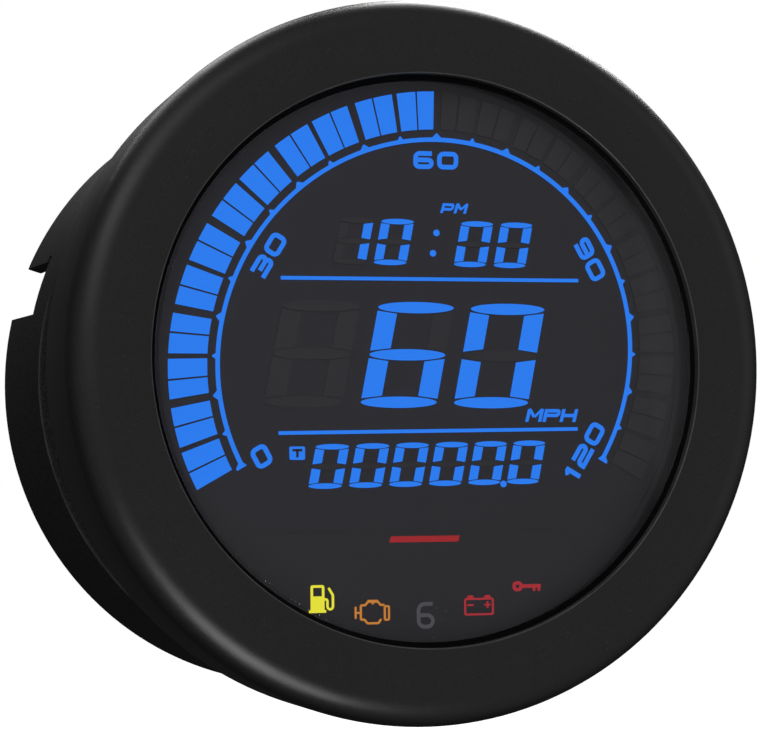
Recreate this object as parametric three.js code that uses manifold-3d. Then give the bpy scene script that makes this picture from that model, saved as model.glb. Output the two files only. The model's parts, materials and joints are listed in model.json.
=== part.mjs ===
// Round motorcycle instrument cluster with a segment display behind a stepped lens.
// Millimetres, +Z up. The gauge axis is Y and the dial looks towards -Y.
// The origin is the middle of the flat pad on the rear cover that a bracket is bolted to.

import * as THREE from 'three';
import { mergeVertices } from 'three/addons/utils/BufferGeometryUtils.js';
import Module from 'manifold-3d';

const wasm = await Module();
wasm.setup();

// Driving dimensions. Depths run rearwards from the dial plane.
const PAD_DEPTH = 54.4;
const GAP = 0.3;

const BEZEL_RADIUS = 54.3;
const BEZEL_BORE = 42.1;
const BEZEL_FRONT = -4;
const BEZEL_REAR = 17.4;
const BEZEL_WALL = 1.6;
const BEZEL_ROUND = 4.5;
const BEZEL_LIP_BACK = -2.7;
const BEZEL_CATCH_RADIUS = 50.9;
const BEZEL_CATCH = 1.3;

const LENS_STEP_RADIUS = 41.5;
const LENS_RADIUS = 51;
const LENS_FRONT = -3.4;
const LENS_FLANGE_FRONT = -1.4;
const LENS_BACK = 0.3;
const LENS_SEAL = [43, 49.6];

// Display layers, each from its front depth to its back depth.
const MASK_LAYER = [0.6, 1];
const FRONT_POLARISER_LAYER = [1.3, 1.6];
const FRONT_GLASS_LAYER = [1.9, 3];
const REAR_GLASS_LAYER = [3.3, 4.4];
const REAR_POLARISER_LAYER = [4.7, 5];
const DIFFUSER_LAYER = [5.3, 6.3];

const LCD_RADIUS = 41.4;
const LCD_CHORD = -25.9;
const REAR_GLASS_FOOT = -22.4;
const REAR_GLASS_CROWN = 35;
const MASK_RADIUS = 46.3;
const BOX_RADIUS = 46;
const BOX_FRONT = 1.3;
const BOX_BACK = 11.7;
const LAMP_FRONT = 10.8;

const BOARD_FRONT = 12;
const BOARD_BACK = 13.6;
const POWER_BOARD_FRONT = 42.4;
const POWER_BOARD_BACK = 44;

const HOUSING_FRONT = 0.6;
const HOUSING_RADIUS = 48.5;
const HOUSING_FLANGE_RADIUS = 52;
const HOUSING_FLANGE = 2;
const HOUSING_WAIST_RADIUS = 50;
const HOUSING_MOUTH = 47.2;
const HOUSING_BORE = 44.6;
const HOUSING_BACK = 46.7;
const TONGUE_RADIUS = 45;
const TONGUE_BORE = 43.2;
const TONGUE_LENGTH = 2.6;

const COVER_FRONT = 47;
const COVER_FRONT_RADIUS = 50.8;
const COVER_RIM_RADIUS = 52.9;
const COVER_RIM = 72.4;
const COVER_PLATE_FRONT = 51;
const COVER_PLATE_BACK = 53.6;
const COVER_SOCKET_RADIUS = 46.4;
const SKIRT_BORE = 49.4;
const NOTCH_FLOOR = 56;
const NOTCH_WIDTH = 9.4;
const NOTCH_ANGLES = [17.5, 162.5];

const TELLTALE_ARC_RADIUS = 38.6;
const TELLTALE_PITCH = 12.2;
const TELLTALE_ANGLES = [-2, -1, 0, 1, 2].map((step) => step * TELLTALE_PITCH - 90);
const TELLTALE_CELL = [6.2, 5.2];

const CASE_SCREW_ANGLES = [45, 135, 225, 315];
const CASE_SCREW_CIRCLE = 41.9;
const BOARD_SCREW_ANGLES = [90, 200, 340];
const BOARD_SCREW_CIRCLE = 43.5;
const BOARD_SCREW_TIP = 7.2;

// Radii shared by the small tapping screws.
const SCREW_SHANK = 1.1;
const SCREW_PILOT = 1.4;
const SCREW_HOLE = 1.7;
const SCREW_HEAD = 2.6;
const SCREW_HEAD_DEPTH = 1.3;

const STUD_OFFSET = 26;
const STUD_RADIUS = 2.5;
const STUD_END = 68;

const BUTTON_HEIGHT = 27;
const BUTTON_RADIUS = 4.2;
const BUTTON_TRAVEL = 1.5;
const BUTTON_FLANGE = 6;
const BUTTON_END = 62;
const BUTTON_GROOVE = [56, 57.6];
const GUIDE_RADIUS = 7.2;
const GUIDE_END = 58.6;
const PLUNGER_FRONT = 49.1;
const SWITCH_BACK = 47.2;
const SWITCH_STEM_FRONT = 46.5;
const SWITCH_STEM_RADIUS = 1.6;

const CONNECTOR_HEIGHT = -27;
const CONNECTOR_BODY = [24, 12];
const CONNECTOR_SOCKET = [20, 8];
const CONNECTOR_END = 66;
const CONTACT_PITCH = 4.4;
const CONTACT_END = 60;
const VENT_CENTRE = [22, 28];

// Sides that round pieces are cut into.
const FINE = 48;
const MEDIUM = 28;
const COARSE = 12;

const cluster = new THREE.Group();
cluster.name = 'instrument_cluster';

// Rearward depth to the model's Y.
const at = (depth) => depth - PAD_DEPTH;

const radians = (degrees) => degrees * Math.PI / 180;

const onCircle = (radius, degrees) => [
  radius * Math.cos(radians(degrees)),
  radius * Math.sin(radians(degrees)),
];

// Shape helpers.

function weld(geometry) {
  geometry.deleteAttribute('normal');
  geometry.deleteAttribute('uv');
  const merged = mergeVertices(geometry, 1e-4);
  const index = merged.getIndex().array;
  const kept = [];
  for (let i = 0; i < index.length; i += 3) {
    const [a, b, c] = [index[i], index[i + 1], index[i + 2]];
    if (a !== b && b !== c && c !== a) kept.push(a, b, c);
  }
  merged.setIndex(kept);
  return merged;
}

function signedVolume(geometry) {
  const place = geometry.getAttribute('position');
  const index = geometry.getIndex().array;
  const corner = [new THREE.Vector3(), new THREE.Vector3(), new THREE.Vector3()];
  let volume = 0;
  for (let i = 0; i < index.length; i += 3) {
    corner.forEach((point, k) => point.fromBufferAttribute(place, index[i + k]));
    volume += corner[0].dot(corner[1].cross(corner[2])) / 6;
  }
  return volume;
}

function faceOut(geometry) {
  if (signedVolume(geometry) > 0) return geometry;
  const index = geometry.getIndex().array;
  const turned = [];
  for (let i = 0; i < index.length; i += 3) turned.push(index[i], index[i + 2], index[i + 1]);
  geometry.setIndex(turned);
  return geometry;
}

// A profile of [radius, depth] points turned about the gauge axis, or about a line beside it.
function revolve(profile, segments = MEDIUM, centre = [0, 0]) {
  const points = profile.map(([radius, depth]) => new THREE.Vector2(radius, at(depth)));
  const closed = profile[0][0] > 0 || profile.at(-1)[0] > 0;
  if (closed) points.push(points[0].clone());
  const geometry = faceOut(weld(new THREE.LatheGeometry(points, segments)));
  return geometry.translate(centre[0], 0, centre[1]);
}

function disc(radius, front, back, segments = MEDIUM, centre = [0, 0]) {
  return revolve([[0, front], [radius, front], [radius, back], [0, back]], segments, centre);
}

function ring(inner, outer, front, back, segments = MEDIUM, centre = [0, 0]) {
  const profile = [[inner, front], [outer, front], [outer, back], [inner, back]];
  return revolve(profile, segments, centre);
}

function block(width, height, front, back, centre = [0, 0]) {
  const geometry = weld(new THREE.BoxGeometry(width, back - front, height));
  return geometry.translate(centre[0], at((front + back) / 2), centre[1]);
}

// A flat outline, drawn as the dial is seen from the front, given a thickness.
function slab(shape, front, back, segments = 12) {
  const options = { depth: back - front, bevelEnabled: false, curveSegments: segments };
  const geometry = new THREE.ExtrudeGeometry(shape, options);
  geometry.rotateX(Math.PI / 2);
  return faceOut(weld(geometry.translate(0, at(back), 0)));
}

// The display outline: a circle with its foot cut off level.
function displayShape(radius, foot, crown = radius) {
  const low = Math.asin(foot / radius);
  const high = Math.asin(Math.min(crown / radius, 1));
  const shape = new THREE.Shape();
  shape.absarc(0, 0, radius, low, high, false);
  shape.absarc(0, 0, radius, Math.PI - high, Math.PI - low, false);
  shape.closePath();
  return shape;
}

function toSolid(geometry) {
  const vertProperties = new Float32Array(geometry.getAttribute('position').array);
  const triVerts = new Uint32Array(geometry.getIndex().array);
  return new wasm.Manifold(new wasm.Mesh({ numProp: 3, vertProperties, triVerts }));
}

function toGeometry(solid) {
  const mesh = solid.getMesh();
  const geometry = new THREE.BufferGeometry();
  geometry.setAttribute('position', new THREE.BufferAttribute(mesh.vertProperties, 3));
  geometry.setIndex(Array.from(mesh.triVerts));
  return geometry;
}

function join(...pieces) {
  return toGeometry(pieces.map(toSolid).reduce((whole, piece) => whole.add(piece)));
}

function cut(base, ...tools) {
  const whole = tools.map(toSolid).reduce((solid, tool) => solid.subtract(tool), toSolid(base));
  return toGeometry(whole);
}

// Finishes.
const finish = (color, roughness, metalness = 0) => ({ color, roughness, metalness });
const SATIN_BLACK = finish(0x1d1d1e, 0.42, 0.4);
const CASE_BLACK = finish(0x1a1a1a, 0.62);
const SMOKED_CLEAR = finish(0x33333a, 0.12);
const RUBBER = finish(0x121212, 0.85);
const DISPLAY_DARK = finish(0x1b1b22, 0.2);
const GLASS = finish(0x8fa3ad, 0.1);
const WHITE_PLASTIC = finish(0xe9e9e4, 0.6);
const BOARD_GREEN = finish(0x1d5b36, 0.5);
const CHIP_BLACK = finish(0x202022, 0.5);
const STEEL = finish(0xb4b6b8, 0.3, 0.9);
const TIN = finish(0xc9cacc, 0.35, 0.9);

function place(name, geometry, { color, roughness, metalness }) {
  const material = new THREE.MeshStandardMaterial({ color, roughness, metalness });
  const faceted = geometry.toNonIndexed();
  faceted.computeVertexNormals();
  const mesh = new THREE.Mesh(faceted, material);
  mesh.name = name;
  cluster.add(mesh);
}

// Front: bezel, lens and its seal.

function bezelRing() {
  const ridgeRadius = BEZEL_RADIUS - BEZEL_ROUND;
  const ridgeDepth = BEZEL_FRONT + 0.3;
  const profile = [[BEZEL_BORE, BEZEL_FRONT + 0.5], [BEZEL_BORE + 0.5, BEZEL_FRONT]];
  const steps = 4;
  for (let i = 0; i <= steps; i += 1) {
    const turn = radians(90 * i / steps);
    profile.push([
      ridgeRadius + BEZEL_ROUND * Math.sin(turn),
      ridgeDepth + BEZEL_ROUND * (1 - Math.cos(turn)),
    ]);
  }
  const wallInside = BEZEL_RADIUS - BEZEL_WALL;
  profile.push(
    [BEZEL_RADIUS, BEZEL_REAR - 0.6],
    [BEZEL_RADIUS - 0.4, BEZEL_REAR],
    [BEZEL_CATCH_RADIUS, BEZEL_REAR],
    [BEZEL_CATCH_RADIUS, BEZEL_REAR - BEZEL_CATCH],
    [wallInside, BEZEL_REAR - BEZEL_CATCH],
    [wallInside, BEZEL_LIP_BACK + 2.1],
    [wallInside - 2.7, BEZEL_LIP_BACK],
    [BEZEL_BORE, BEZEL_LIP_BACK],
  );
  return revolve(profile, FINE);
}

function lens() {
  return revolve([
    [0, LENS_FRONT],
    [LENS_STEP_RADIUS - 0.3, LENS_FRONT],
    [LENS_STEP_RADIUS, LENS_FRONT + 0.3],
    [LENS_STEP_RADIUS, LENS_FLANGE_FRONT],
    [LENS_RADIUS, LENS_FLANGE_FRONT],
    [LENS_RADIUS, LENS_BACK],
    [0, LENS_BACK],
  ], FINE);
}

place('bezel_ring', bezelRing(), SATIN_BLACK);
place('lens', lens(), SMOKED_CLEAR);
place('lens_seal', ring(...LENS_SEAL, BEZEL_LIP_BACK + GAP, LENS_FLANGE_FRONT - GAP), RUBBER);

// Display stack, from the mask back to the diffuser.

const telltaleCentres = TELLTALE_ANGLES.map((angle) => onCircle(TELLTALE_ARC_RADIUS, angle));

function telltaleCells(front, back) {
  const [width, height] = TELLTALE_CELL;
  return telltaleCentres.map((centre) => block(width, height, front, back, centre));
}

function faceMask() {
  const [front, back] = [MASK_LAYER[0] - 0.2, MASK_LAYER[1] + 0.2];
  const window = slab(displayShape(LCD_RADIUS - 0.4, LCD_CHORD + 0.4), front, back);
  return cut(disc(MASK_RADIUS, ...MASK_LAYER), window, ...telltaleCells(front, back));
}

function frontLayer([front, back]) {
  return slab(displayShape(LCD_RADIUS, LCD_CHORD), front, back);
}

function rearLayer([front, back]) {
  return slab(displayShape(LCD_RADIUS, REAR_GLASS_FOOT, REAR_GLASS_CROWN), front, back);
}

place('face_mask', faceMask(), DISPLAY_DARK);
place('front_polariser', frontLayer(FRONT_POLARISER_LAYER), DISPLAY_DARK);
place('lcd_front_glass', frontLayer(FRONT_GLASS_LAYER), GLASS);
place('lcd_rear_glass', rearLayer(REAR_GLASS_LAYER), GLASS);
place('rear_polariser', rearLayer(REAR_POLARISER_LAYER), DISPLAY_DARK);
place('diffuser_sheet', rearLayer(DIFFUSER_LAYER), WHITE_PLASTIC);

// Conductive rubber strips carry the drive signals from the board to the front glass.
const STRIP = 2.2;
const UPPER_STRIP = [28, 36.5];
const LOWER_STRIP = [52, -24.3];

function conductiveStrip([width, height]) {
  return block(width, STRIP, FRONT_GLASS_LAYER[1] + GAP, BOX_BACK, [0, height]);
}

place('conductive_strip_upper', conductiveStrip(UPPER_STRIP), RUBBER);
place('conductive_strip_lower', conductiveStrip(LOWER_STRIP), RUBBER);

function lightBox() {
  const mouth = BOX_FRONT - 0.2;
  const ledge = DIFFUSER_LAYER[1] + GAP;
  const tail = BOX_BACK + 0.2;
  const pocket = slab(displayShape(LCD_RADIUS + 0.7, LCD_CHORD - 0.6), mouth, ledge);
  const cavity = slab(displayShape(39, -20.5, 33.5), ledge - 0.2, tail);
  const slots = [UPPER_STRIP, LOWER_STRIP].map(([width, height]) => (
    block(width + 1, STRIP + 1, ledge - 0.2, tail, [0, height])
  ));
  const pilots = BOARD_SCREW_ANGLES.map((angle) => (
    disc(SCREW_PILOT, ledge + GAP, tail, COARSE, onCircle(BOARD_SCREW_CIRCLE, angle))
  ));
  return cut(disc(BOX_RADIUS, BOX_FRONT, BOX_BACK), pocket, cavity, ...slots, ...pilots,
    ...telltaleCells(mouth, tail));
}

place('light_box', lightBox(), WHITE_PLASTIC);

// Main board with its lamps, processor and screws.

function boardHole(angle) {
  const centre = onCircle(BOARD_SCREW_CIRCLE, angle);
  return disc(SCREW_HOLE, BOARD_FRONT - 1, BOARD_BACK + 1, COARSE, centre);
}

function boardScrew(angle) {
  const head = BOARD_BACK + GAP;
  return revolve([
    [0, BOARD_SCREW_TIP],
    [SCREW_SHANK, BOARD_SCREW_TIP],
    [SCREW_SHANK, head],
    [SCREW_HEAD, head],
    [SCREW_HEAD, head + SCREW_HEAD_DEPTH],
    [0, head + SCREW_HEAD_DEPTH],
  ], COARSE, onCircle(BOARD_SCREW_CIRCLE, angle));
}

place('main_board',
  cut(disc(BOX_RADIUS, BOARD_FRONT, BOARD_BACK), ...BOARD_SCREW_ANGLES.map(boardHole)),
  BOARD_GREEN);
BOARD_SCREW_ANGLES.forEach((angle, i) => {
  place(`board_screw_${i + 1}`, boardScrew(angle), STEEL);
});

const BACKLIGHT_CENTRES = [[-20, 16], [20, 16], [-20, -10], [20, -10]];
BACKLIGHT_CENTRES.forEach((centre, i) => {
  place(`backlight_led_${i + 1}`, block(3.5, 2.8, LAMP_FRONT, BOX_BACK, centre), WHITE_PLASTIC);
});
telltaleCentres.forEach((centre, i) => {
  place(`telltale_led_${i + 1}`, block(3.2, 1.6, LAMP_FRONT, BOX_BACK, centre), WHITE_PLASTIC);
});
place('microcontroller', block(14, 14, BOARD_BACK + GAP, BOARD_BACK + 1.9, [0, -14]),
  CHIP_BLACK);

// Ribbon link between the two boards: a socket at each end and a strip with two folds.
const RIBBON_WIDTH = 13;
const RIBBON_SOCKET = 3.4;

function ribbonCable() {
  const thickness = 0.4;
  const low = 9;
  const high = 15;
  const front = at(BOARD_BACK + 2 * GAP + RIBBON_SOCKET);
  const back = at(POWER_BOARD_FRONT - 2 * GAP - RIBBON_SOCKET);
  const middle = (front + back) / 2;
  const shape = new THREE.Shape();
  shape.moveTo(front, low);
  shape.lineTo(middle - 2, low);
  shape.lineTo(middle + 2, high);
  shape.lineTo(back, high);
  shape.lineTo(back, high + thickness);
  shape.lineTo(middle + 2 - thickness, high + thickness);
  shape.lineTo(middle - 2 - thickness, low + thickness);
  shape.lineTo(front, low + thickness);
  shape.closePath();
  const options = { depth: RIBBON_WIDTH, bevelEnabled: false };
  const geometry = new THREE.ExtrudeGeometry(shape, options);
  const axes = new THREE.Matrix4().makeBasis(
    new THREE.Vector3(0, 1, 0), new THREE.Vector3(0, 0, 1), new THREE.Vector3(1, 0, 0));
  geometry.applyMatrix4(axes);
  return faceOut(weld(geometry.translate(-RIBBON_WIDTH / 2, 0, 0)));
}

const frontSocketStart = BOARD_BACK + GAP;
const rearSocketEnd = POWER_BOARD_FRONT - GAP;
place('ribbon_socket_front',
  block(18, 5, frontSocketStart, frontSocketStart + RIBBON_SOCKET, [0, 9.2]), WHITE_PLASTIC);
place('ribbon_cable', ribbonCable(), WHITE_PLASTIC);
place('ribbon_socket_rear',
  block(18, 5, rearSocketEnd - RIBBON_SOCKET, rearSocketEnd, [0, 15.2]), WHITE_PLASTIC);

// Power board behind it, with the supply parts and the mode switch.
const STANDOFF_CENTRES = [[-26, 22], [26, 22]];

function contactCentres() {
  const xs = [-1.5, -0.5, 0.5, 1.5].map((step) => step * CONTACT_PITCH);
  return xs.map((x) => [x, CONNECTOR_HEIGHT]);
}

function powerBoard() {
  const holes = STANDOFF_CENTRES.map((centre) => (
    disc(SCREW_HOLE, POWER_BOARD_FRONT - 1, POWER_BOARD_BACK + 1, COARSE, centre)
  ));
  const pads = contactCentres().map((centre) => (
    block(1.8, 1.8, POWER_BOARD_FRONT - 1, POWER_BOARD_BACK + 1, centre)
  ));
  const shape = new THREE.Shape();
  shape.moveTo(-33, -12);
  shape.lineTo(-18, -33);
  shape.lineTo(18, -33);
  shape.lineTo(33, -12);
  shape.lineTo(33, 20);
  shape.lineTo(20, 33);
  shape.lineTo(-20, 33);
  shape.lineTo(-33, 20);
  shape.closePath();
  return cut(slab(shape, POWER_BOARD_FRONT, POWER_BOARD_BACK), ...holes, ...pads);
}

function powerBoardScrew(centre) {
  const head = POWER_BOARD_FRONT - GAP;
  const tip = POWER_BOARD_BACK + 5;
  return revolve([
    [0, head - SCREW_HEAD_DEPTH],
    [SCREW_HEAD, head - SCREW_HEAD_DEPTH],
    [SCREW_HEAD, head],
    [SCREW_SHANK, head],
    [SCREW_SHANK, tip],
    [0, tip],
  ], COARSE, centre);
}

place('power_board', powerBoard(), BOARD_GREEN);
STANDOFF_CENTRES.forEach((centre, i) => {
  place(`power_board_screw_${i + 1}`, powerBoardScrew(centre), STEEL);
});
place('capacitor', disc(5, 30, POWER_BOARD_FRONT - GAP, COARSE, [-18, -4]), CHIP_BLACK);
place('voltage_regulator', block(10, 9, 38, POWER_BOARD_FRONT - GAP, [17, -6]), CHIP_BLACK);

// Front housing, which carries the display module and bolts to the rear cover.

function frontHousing() {
  const rearFlange = [12.6, BEZEL_REAR - BEZEL_CATCH - GAP];
  const boreDepths = [22.2, 43];
  const tongueEnd = HOUSING_BACK + TONGUE_LENGTH;
  const shell = revolve([
    [HOUSING_MOUTH, HOUSING_FRONT],
    [HOUSING_FLANGE_RADIUS, HOUSING_FRONT],
    [HOUSING_FLANGE_RADIUS, HOUSING_FRONT + HOUSING_FLANGE],
    [HOUSING_WAIST_RADIUS, HOUSING_FRONT + HOUSING_FLANGE],
    [HOUSING_WAIST_RADIUS, rearFlange[0]],
    [HOUSING_FLANGE_RADIUS, rearFlange[0]],
    [HOUSING_FLANGE_RADIUS, rearFlange[1]],
    [HOUSING_RADIUS, rearFlange[1]],
    [HOUSING_RADIUS, HOUSING_BACK],
    [TONGUE_RADIUS, HOUSING_BACK],
    [TONGUE_RADIUS, tongueEnd],
    [TONGUE_BORE, tongueEnd],
    [TONGUE_BORE, boreDepths[1] + 2],
    [HOUSING_BORE, boreDepths[1]],
    [HOUSING_BORE, boreDepths[0]],
    [HOUSING_MOUTH, boreDepths[0] - 2.6],
  ], FINE);
  const rests = CASE_SCREW_ANGLES.map((angle) => {
    const rest = block(5, 6, BOARD_BACK + GAP, 24, [45.4, 0]);
    return rest.rotateY(-radians(angle));
  });
  const bosses = CASE_SCREW_ANGLES.map((angle) => (
    disc(3, 32, COVER_PLATE_FRONT - GAP, COARSE, onCircle(CASE_SCREW_CIRCLE, angle))
  ));
  const pilots = CASE_SCREW_ANGLES.map((angle) => (
    disc(1.6, 39, COVER_PLATE_FRONT, COARSE, onCircle(CASE_SCREW_CIRCLE, angle))
  ));
  return cut(join(shell, ...rests, ...bosses), ...pilots);
}

place('front_housing', frontHousing(), CASE_BLACK);
place('case_seal',
  ring(TONGUE_RADIUS + GAP, COVER_SOCKET_RADIUS - GAP, COVER_FRONT + GAP, COVER_FRONT + 2.2),
  RUBBER);

// Rear cover: a plate across the case with a notched skirt behind it.

function rearCover() {
  const rimBore = SKIRT_BORE + 0.9;
  const shell = revolve([
    [0, COVER_PLATE_FRONT],
    [COVER_SOCKET_RADIUS, COVER_PLATE_FRONT],
    [COVER_SOCKET_RADIUS, COVER_FRONT],
    [COVER_FRONT_RADIUS - 0.6, COVER_FRONT],
    [COVER_FRONT_RADIUS, COVER_FRONT + 0.6],
    [COVER_RIM_RADIUS, COVER_RIM - 0.5],
    [COVER_RIM_RADIUS - 0.5, COVER_RIM],
    [rimBore + 0.4, COVER_RIM],
    [rimBore, COVER_RIM - 0.4],
    [SKIRT_BORE, COVER_PLATE_BACK + 0.8],
    [SKIRT_BORE - 0.8, COVER_PLATE_BACK],
    [0, COVER_PLATE_BACK],
  ], FINE);
  const pad = disc(15, COVER_PLATE_BACK - 1, PAD_DEPTH, MEDIUM);
  const studPads = [-STUD_OFFSET, STUD_OFFSET].map((x) => (
    disc(8, COVER_PLATE_BACK - 1, PAD_DEPTH, MEDIUM, [x, 0])
  ));
  const guide = disc(GUIDE_RADIUS, COVER_PLATE_BACK - 1, GUIDE_END, MEDIUM, [0, BUTTON_HEIGHT]);
  const standoffs = STANDOFF_CENTRES.map((centre) => (
    disc(3, POWER_BOARD_BACK + GAP, COVER_PLATE_FRONT + 1, COARSE, centre)
  ));
  const standoffPilots = STANDOFF_CENTRES.map((centre) => (
    disc(SCREW_PILOT, POWER_BOARD_BACK, POWER_BOARD_BACK + 6, COARSE, centre)
  ));
  const screwHoles = CASE_SCREW_ANGLES.map((angle) => (
    disc(1.8, COVER_PLATE_FRONT - 1, PAD_DEPTH, COARSE, onCircle(CASE_SCREW_CIRCLE, angle))
  ));
  const studHoles = [-STUD_OFFSET, STUD_OFFSET].map((x) => (
    disc(STUD_RADIUS + GAP, COVER_PLATE_FRONT - 1, PAD_DEPTH + 1, COARSE, [x, 0])
  ));
  const buttonBore = disc(BUTTON_RADIUS + GAP, COVER_PLATE_FRONT - 1, GUIDE_END + 1, MEDIUM,
    [0, BUTTON_HEIGHT]);
  const socketHole = block(CONNECTOR_BODY[0] + 0.6, CONNECTOR_BODY[1] + 0.6,
    COVER_PLATE_FRONT - 1, PAD_DEPTH, [0, CONNECTOR_HEIGHT]);
  const ventHole = disc(2, COVER_PLATE_FRONT - 1, PAD_DEPTH, COARSE, VENT_CENTRE);
  const notches = NOTCH_ANGLES.map((angle) => {
    const notch = block(10, NOTCH_WIDTH, NOTCH_FLOOR, COVER_RIM + 1, [COVER_FRONT_RADIUS, 0]);
    return notch.rotateY(-radians(angle));
  });
  return cut(join(shell, pad, ...studPads, guide, ...standoffs), ...standoffPilots,
    ...screwHoles, ...studHoles, buttonBore, socketHole, ventHole, ...notches);
}

// A stem through the plate with a rounded head that rests on its back.
function headedPin(start, stem, head, headEnd, round, centre) {
  const seat = COVER_PLATE_BACK + GAP;
  return revolve([
    [0, start],
    [stem, start],
    [stem, seat],
    [head, seat],
    [head, headEnd - round],
    [head - round, headEnd],
    [0, headEnd],
  ], COARSE, centre);
}

function caseScrew(angle) {
  const centre = onCircle(CASE_SCREW_CIRCLE, angle);
  return headedPin(40, 1.3, 2.9, COVER_PLATE_BACK + 2.3, 0.6, centre);
}

function ventPlug() {
  return headedPin(COVER_PLATE_FRONT - 1, 1.7, 4.2, COVER_PLATE_BACK + 2.2, 0.7, VENT_CENTRE);
}

place('rear_cover', rearCover(), CASE_BLACK);
CASE_SCREW_ANGLES.forEach((angle, i) => {
  place(`case_screw_${i + 1}`, caseScrew(angle), STEEL);
});
place('vent_plug', ventPlug(), RUBBER);

// Mounting studs with their rubber washers, steel washers and lock nuts.

function stud(x) {
  const seat = COVER_PLATE_FRONT - GAP;
  const head = 4.8;
  return revolve([
    [0, seat - 1.5],
    [head, seat - 1.5],
    [head, seat],
    [STUD_RADIUS, seat],
    [STUD_RADIUS, STUD_END - 0.6],
    [STUD_RADIUS - 0.6, STUD_END],
    [0, STUD_END],
  ], COARSE, [x, 0]);
}

function lockNut(x, front) {
  const corner = 4.6;
  const height = 4.4;
  const hexagon = new THREE.CylinderGeometry(corner, corner, height, 6);
  const nut = weld(hexagon).translate(x, at(front + height / 2), 0);
  return cut(nut, disc(STUD_RADIUS + GAP, front - 1, front + height + 1, COARSE, [x, 0]));
}

[['left', -STUD_OFFSET], ['right', STUD_OFFSET]].forEach(([side, x]) => {
  const bore = STUD_RADIUS + GAP;
  const rubber = PAD_DEPTH + GAP;
  const steel = rubber + 2 + GAP;
  const nut = steel + 1 + GAP;
  place(`stud_${side}`, stud(x), STEEL);
  place(`rubber_washer_${side}`, ring(bore, 7, rubber, rubber + 2, COARSE, [x, 0]), RUBBER);
  place(`steel_washer_${side}`, ring(bore, 5.6, steel, steel + 1, COARSE, [x, 0]), STEEL);
  place(`lock_nut_${side}`, lockNut(x, nut), STEEL);
});

// Harness connector: a keyed socket shell with four blade contacts.

function connectorShell() {
  const [width, height] = CONNECTOR_BODY;
  const centre = [0, CONNECTOR_HEIGHT];
  const flangeBack = COVER_PLATE_FRONT - GAP;
  const body = block(width, height, flangeBack - 2, CONNECTOR_END, centre);
  const flange = block(width + 5, height + 4, flangeBack - 2, flangeBack, centre);
  const key = block(5, 2, COVER_PLATE_BACK + 1, CONNECTOR_END, [0, CONNECTOR_HEIGHT + 6.8]);
  const socket = block(...CONNECTOR_SOCKET, COVER_PLATE_BACK + 1, CONNECTOR_END + 1, centre);
  const slots = contactCentres().map((point) => (
    block(1.8, 2.6, flangeBack - 3, COVER_PLATE_BACK + 2, point)
  ));
  return cut(join(body, flange, key), socket, ...slots);
}

place('connector_shell', connectorShell(), CASE_BLACK);
contactCentres().forEach((centre, i) => {
  place(`contact_${i + 1}`, block(1, 1, POWER_BOARD_FRONT - 1.5, CONTACT_END, centre), TIN);
});

// Mode button: a plunger in the cover's guide that pushes the switch stem on the power board.
const BUTTON_CENTRE = [0, BUTTON_HEIGHT];

function modeButton() {
  const groove = BUTTON_RADIUS - 0.7;
  const round = 0.8;
  return revolve([
    [0, PLUNGER_FRONT],
    [BUTTON_FLANGE, PLUNGER_FRONT],
    [BUTTON_FLANGE, COVER_PLATE_FRONT - GAP],
    [BUTTON_RADIUS, COVER_PLATE_FRONT - GAP],
    [BUTTON_RADIUS, BUTTON_GROOVE[0]],
    [groove, BUTTON_GROOVE[0]],
    [groove, BUTTON_GROOVE[1]],
    [BUTTON_RADIUS, BUTTON_GROOVE[1]],
    [BUTTON_RADIUS, BUTTON_END - round],
    [BUTTON_RADIUS - round, BUTTON_END],
    [0, BUTTON_END],
  ], MEDIUM, BUTTON_CENTRE);
}

function buttonSeal() {
  const [front, back] = BUTTON_GROOVE;
  const [inner, outer] = [BUTTON_RADIUS - 0.5, BUTTON_RADIUS + 0.1];
  return ring(inner, outer, front + 0.2, back - 0.2, MEDIUM, BUTTON_CENTRE);
}

// The switch body has a well that takes its stem as the button pushes it in.
function modeSwitch() {
  const wellFloor = SWITCH_STEM_FRONT - BUTTON_TRAVEL - GAP;
  const well = disc(SWITCH_STEM_RADIUS + GAP, wellFloor, SWITCH_BACK + 1, COARSE, BUTTON_CENTRE);
  return cut(block(7, 7, POWER_BOARD_BACK + GAP, SWITCH_BACK, BUTTON_CENTRE), well);
}

function switchStem() {
  const back = PLUNGER_FRONT - GAP;
  return disc(SWITCH_STEM_RADIUS, SWITCH_STEM_FRONT, back, COARSE, BUTTON_CENTRE);
}

place('mode_button', modeButton(), RUBBER);
place('button_seal', buttonSeal(), RUBBER);
place('mode_switch', modeSwitch(), CHIP_BLACK);
place('switch_stem', switchStem(), WHITE_PLASTIC);

export default cluster;
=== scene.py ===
import json
import math

import bmesh
import bpy
from mathutils import Matrix, Vector


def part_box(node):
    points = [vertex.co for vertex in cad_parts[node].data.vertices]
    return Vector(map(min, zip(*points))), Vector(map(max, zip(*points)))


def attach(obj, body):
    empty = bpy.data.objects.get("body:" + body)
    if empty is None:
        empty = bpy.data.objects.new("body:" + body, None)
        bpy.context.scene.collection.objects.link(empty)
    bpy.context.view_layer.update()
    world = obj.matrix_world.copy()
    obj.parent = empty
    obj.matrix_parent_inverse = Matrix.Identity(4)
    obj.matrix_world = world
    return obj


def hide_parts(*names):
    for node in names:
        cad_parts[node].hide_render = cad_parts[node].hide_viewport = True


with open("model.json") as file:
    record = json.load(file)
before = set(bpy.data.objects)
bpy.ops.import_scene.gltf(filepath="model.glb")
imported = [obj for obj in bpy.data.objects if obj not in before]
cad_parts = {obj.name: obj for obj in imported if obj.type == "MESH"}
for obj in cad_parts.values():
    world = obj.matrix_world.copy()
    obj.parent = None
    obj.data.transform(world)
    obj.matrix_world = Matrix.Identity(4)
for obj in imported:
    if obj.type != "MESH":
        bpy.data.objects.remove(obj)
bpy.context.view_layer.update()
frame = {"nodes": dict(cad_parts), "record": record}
nodes = frame["nodes"]

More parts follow.
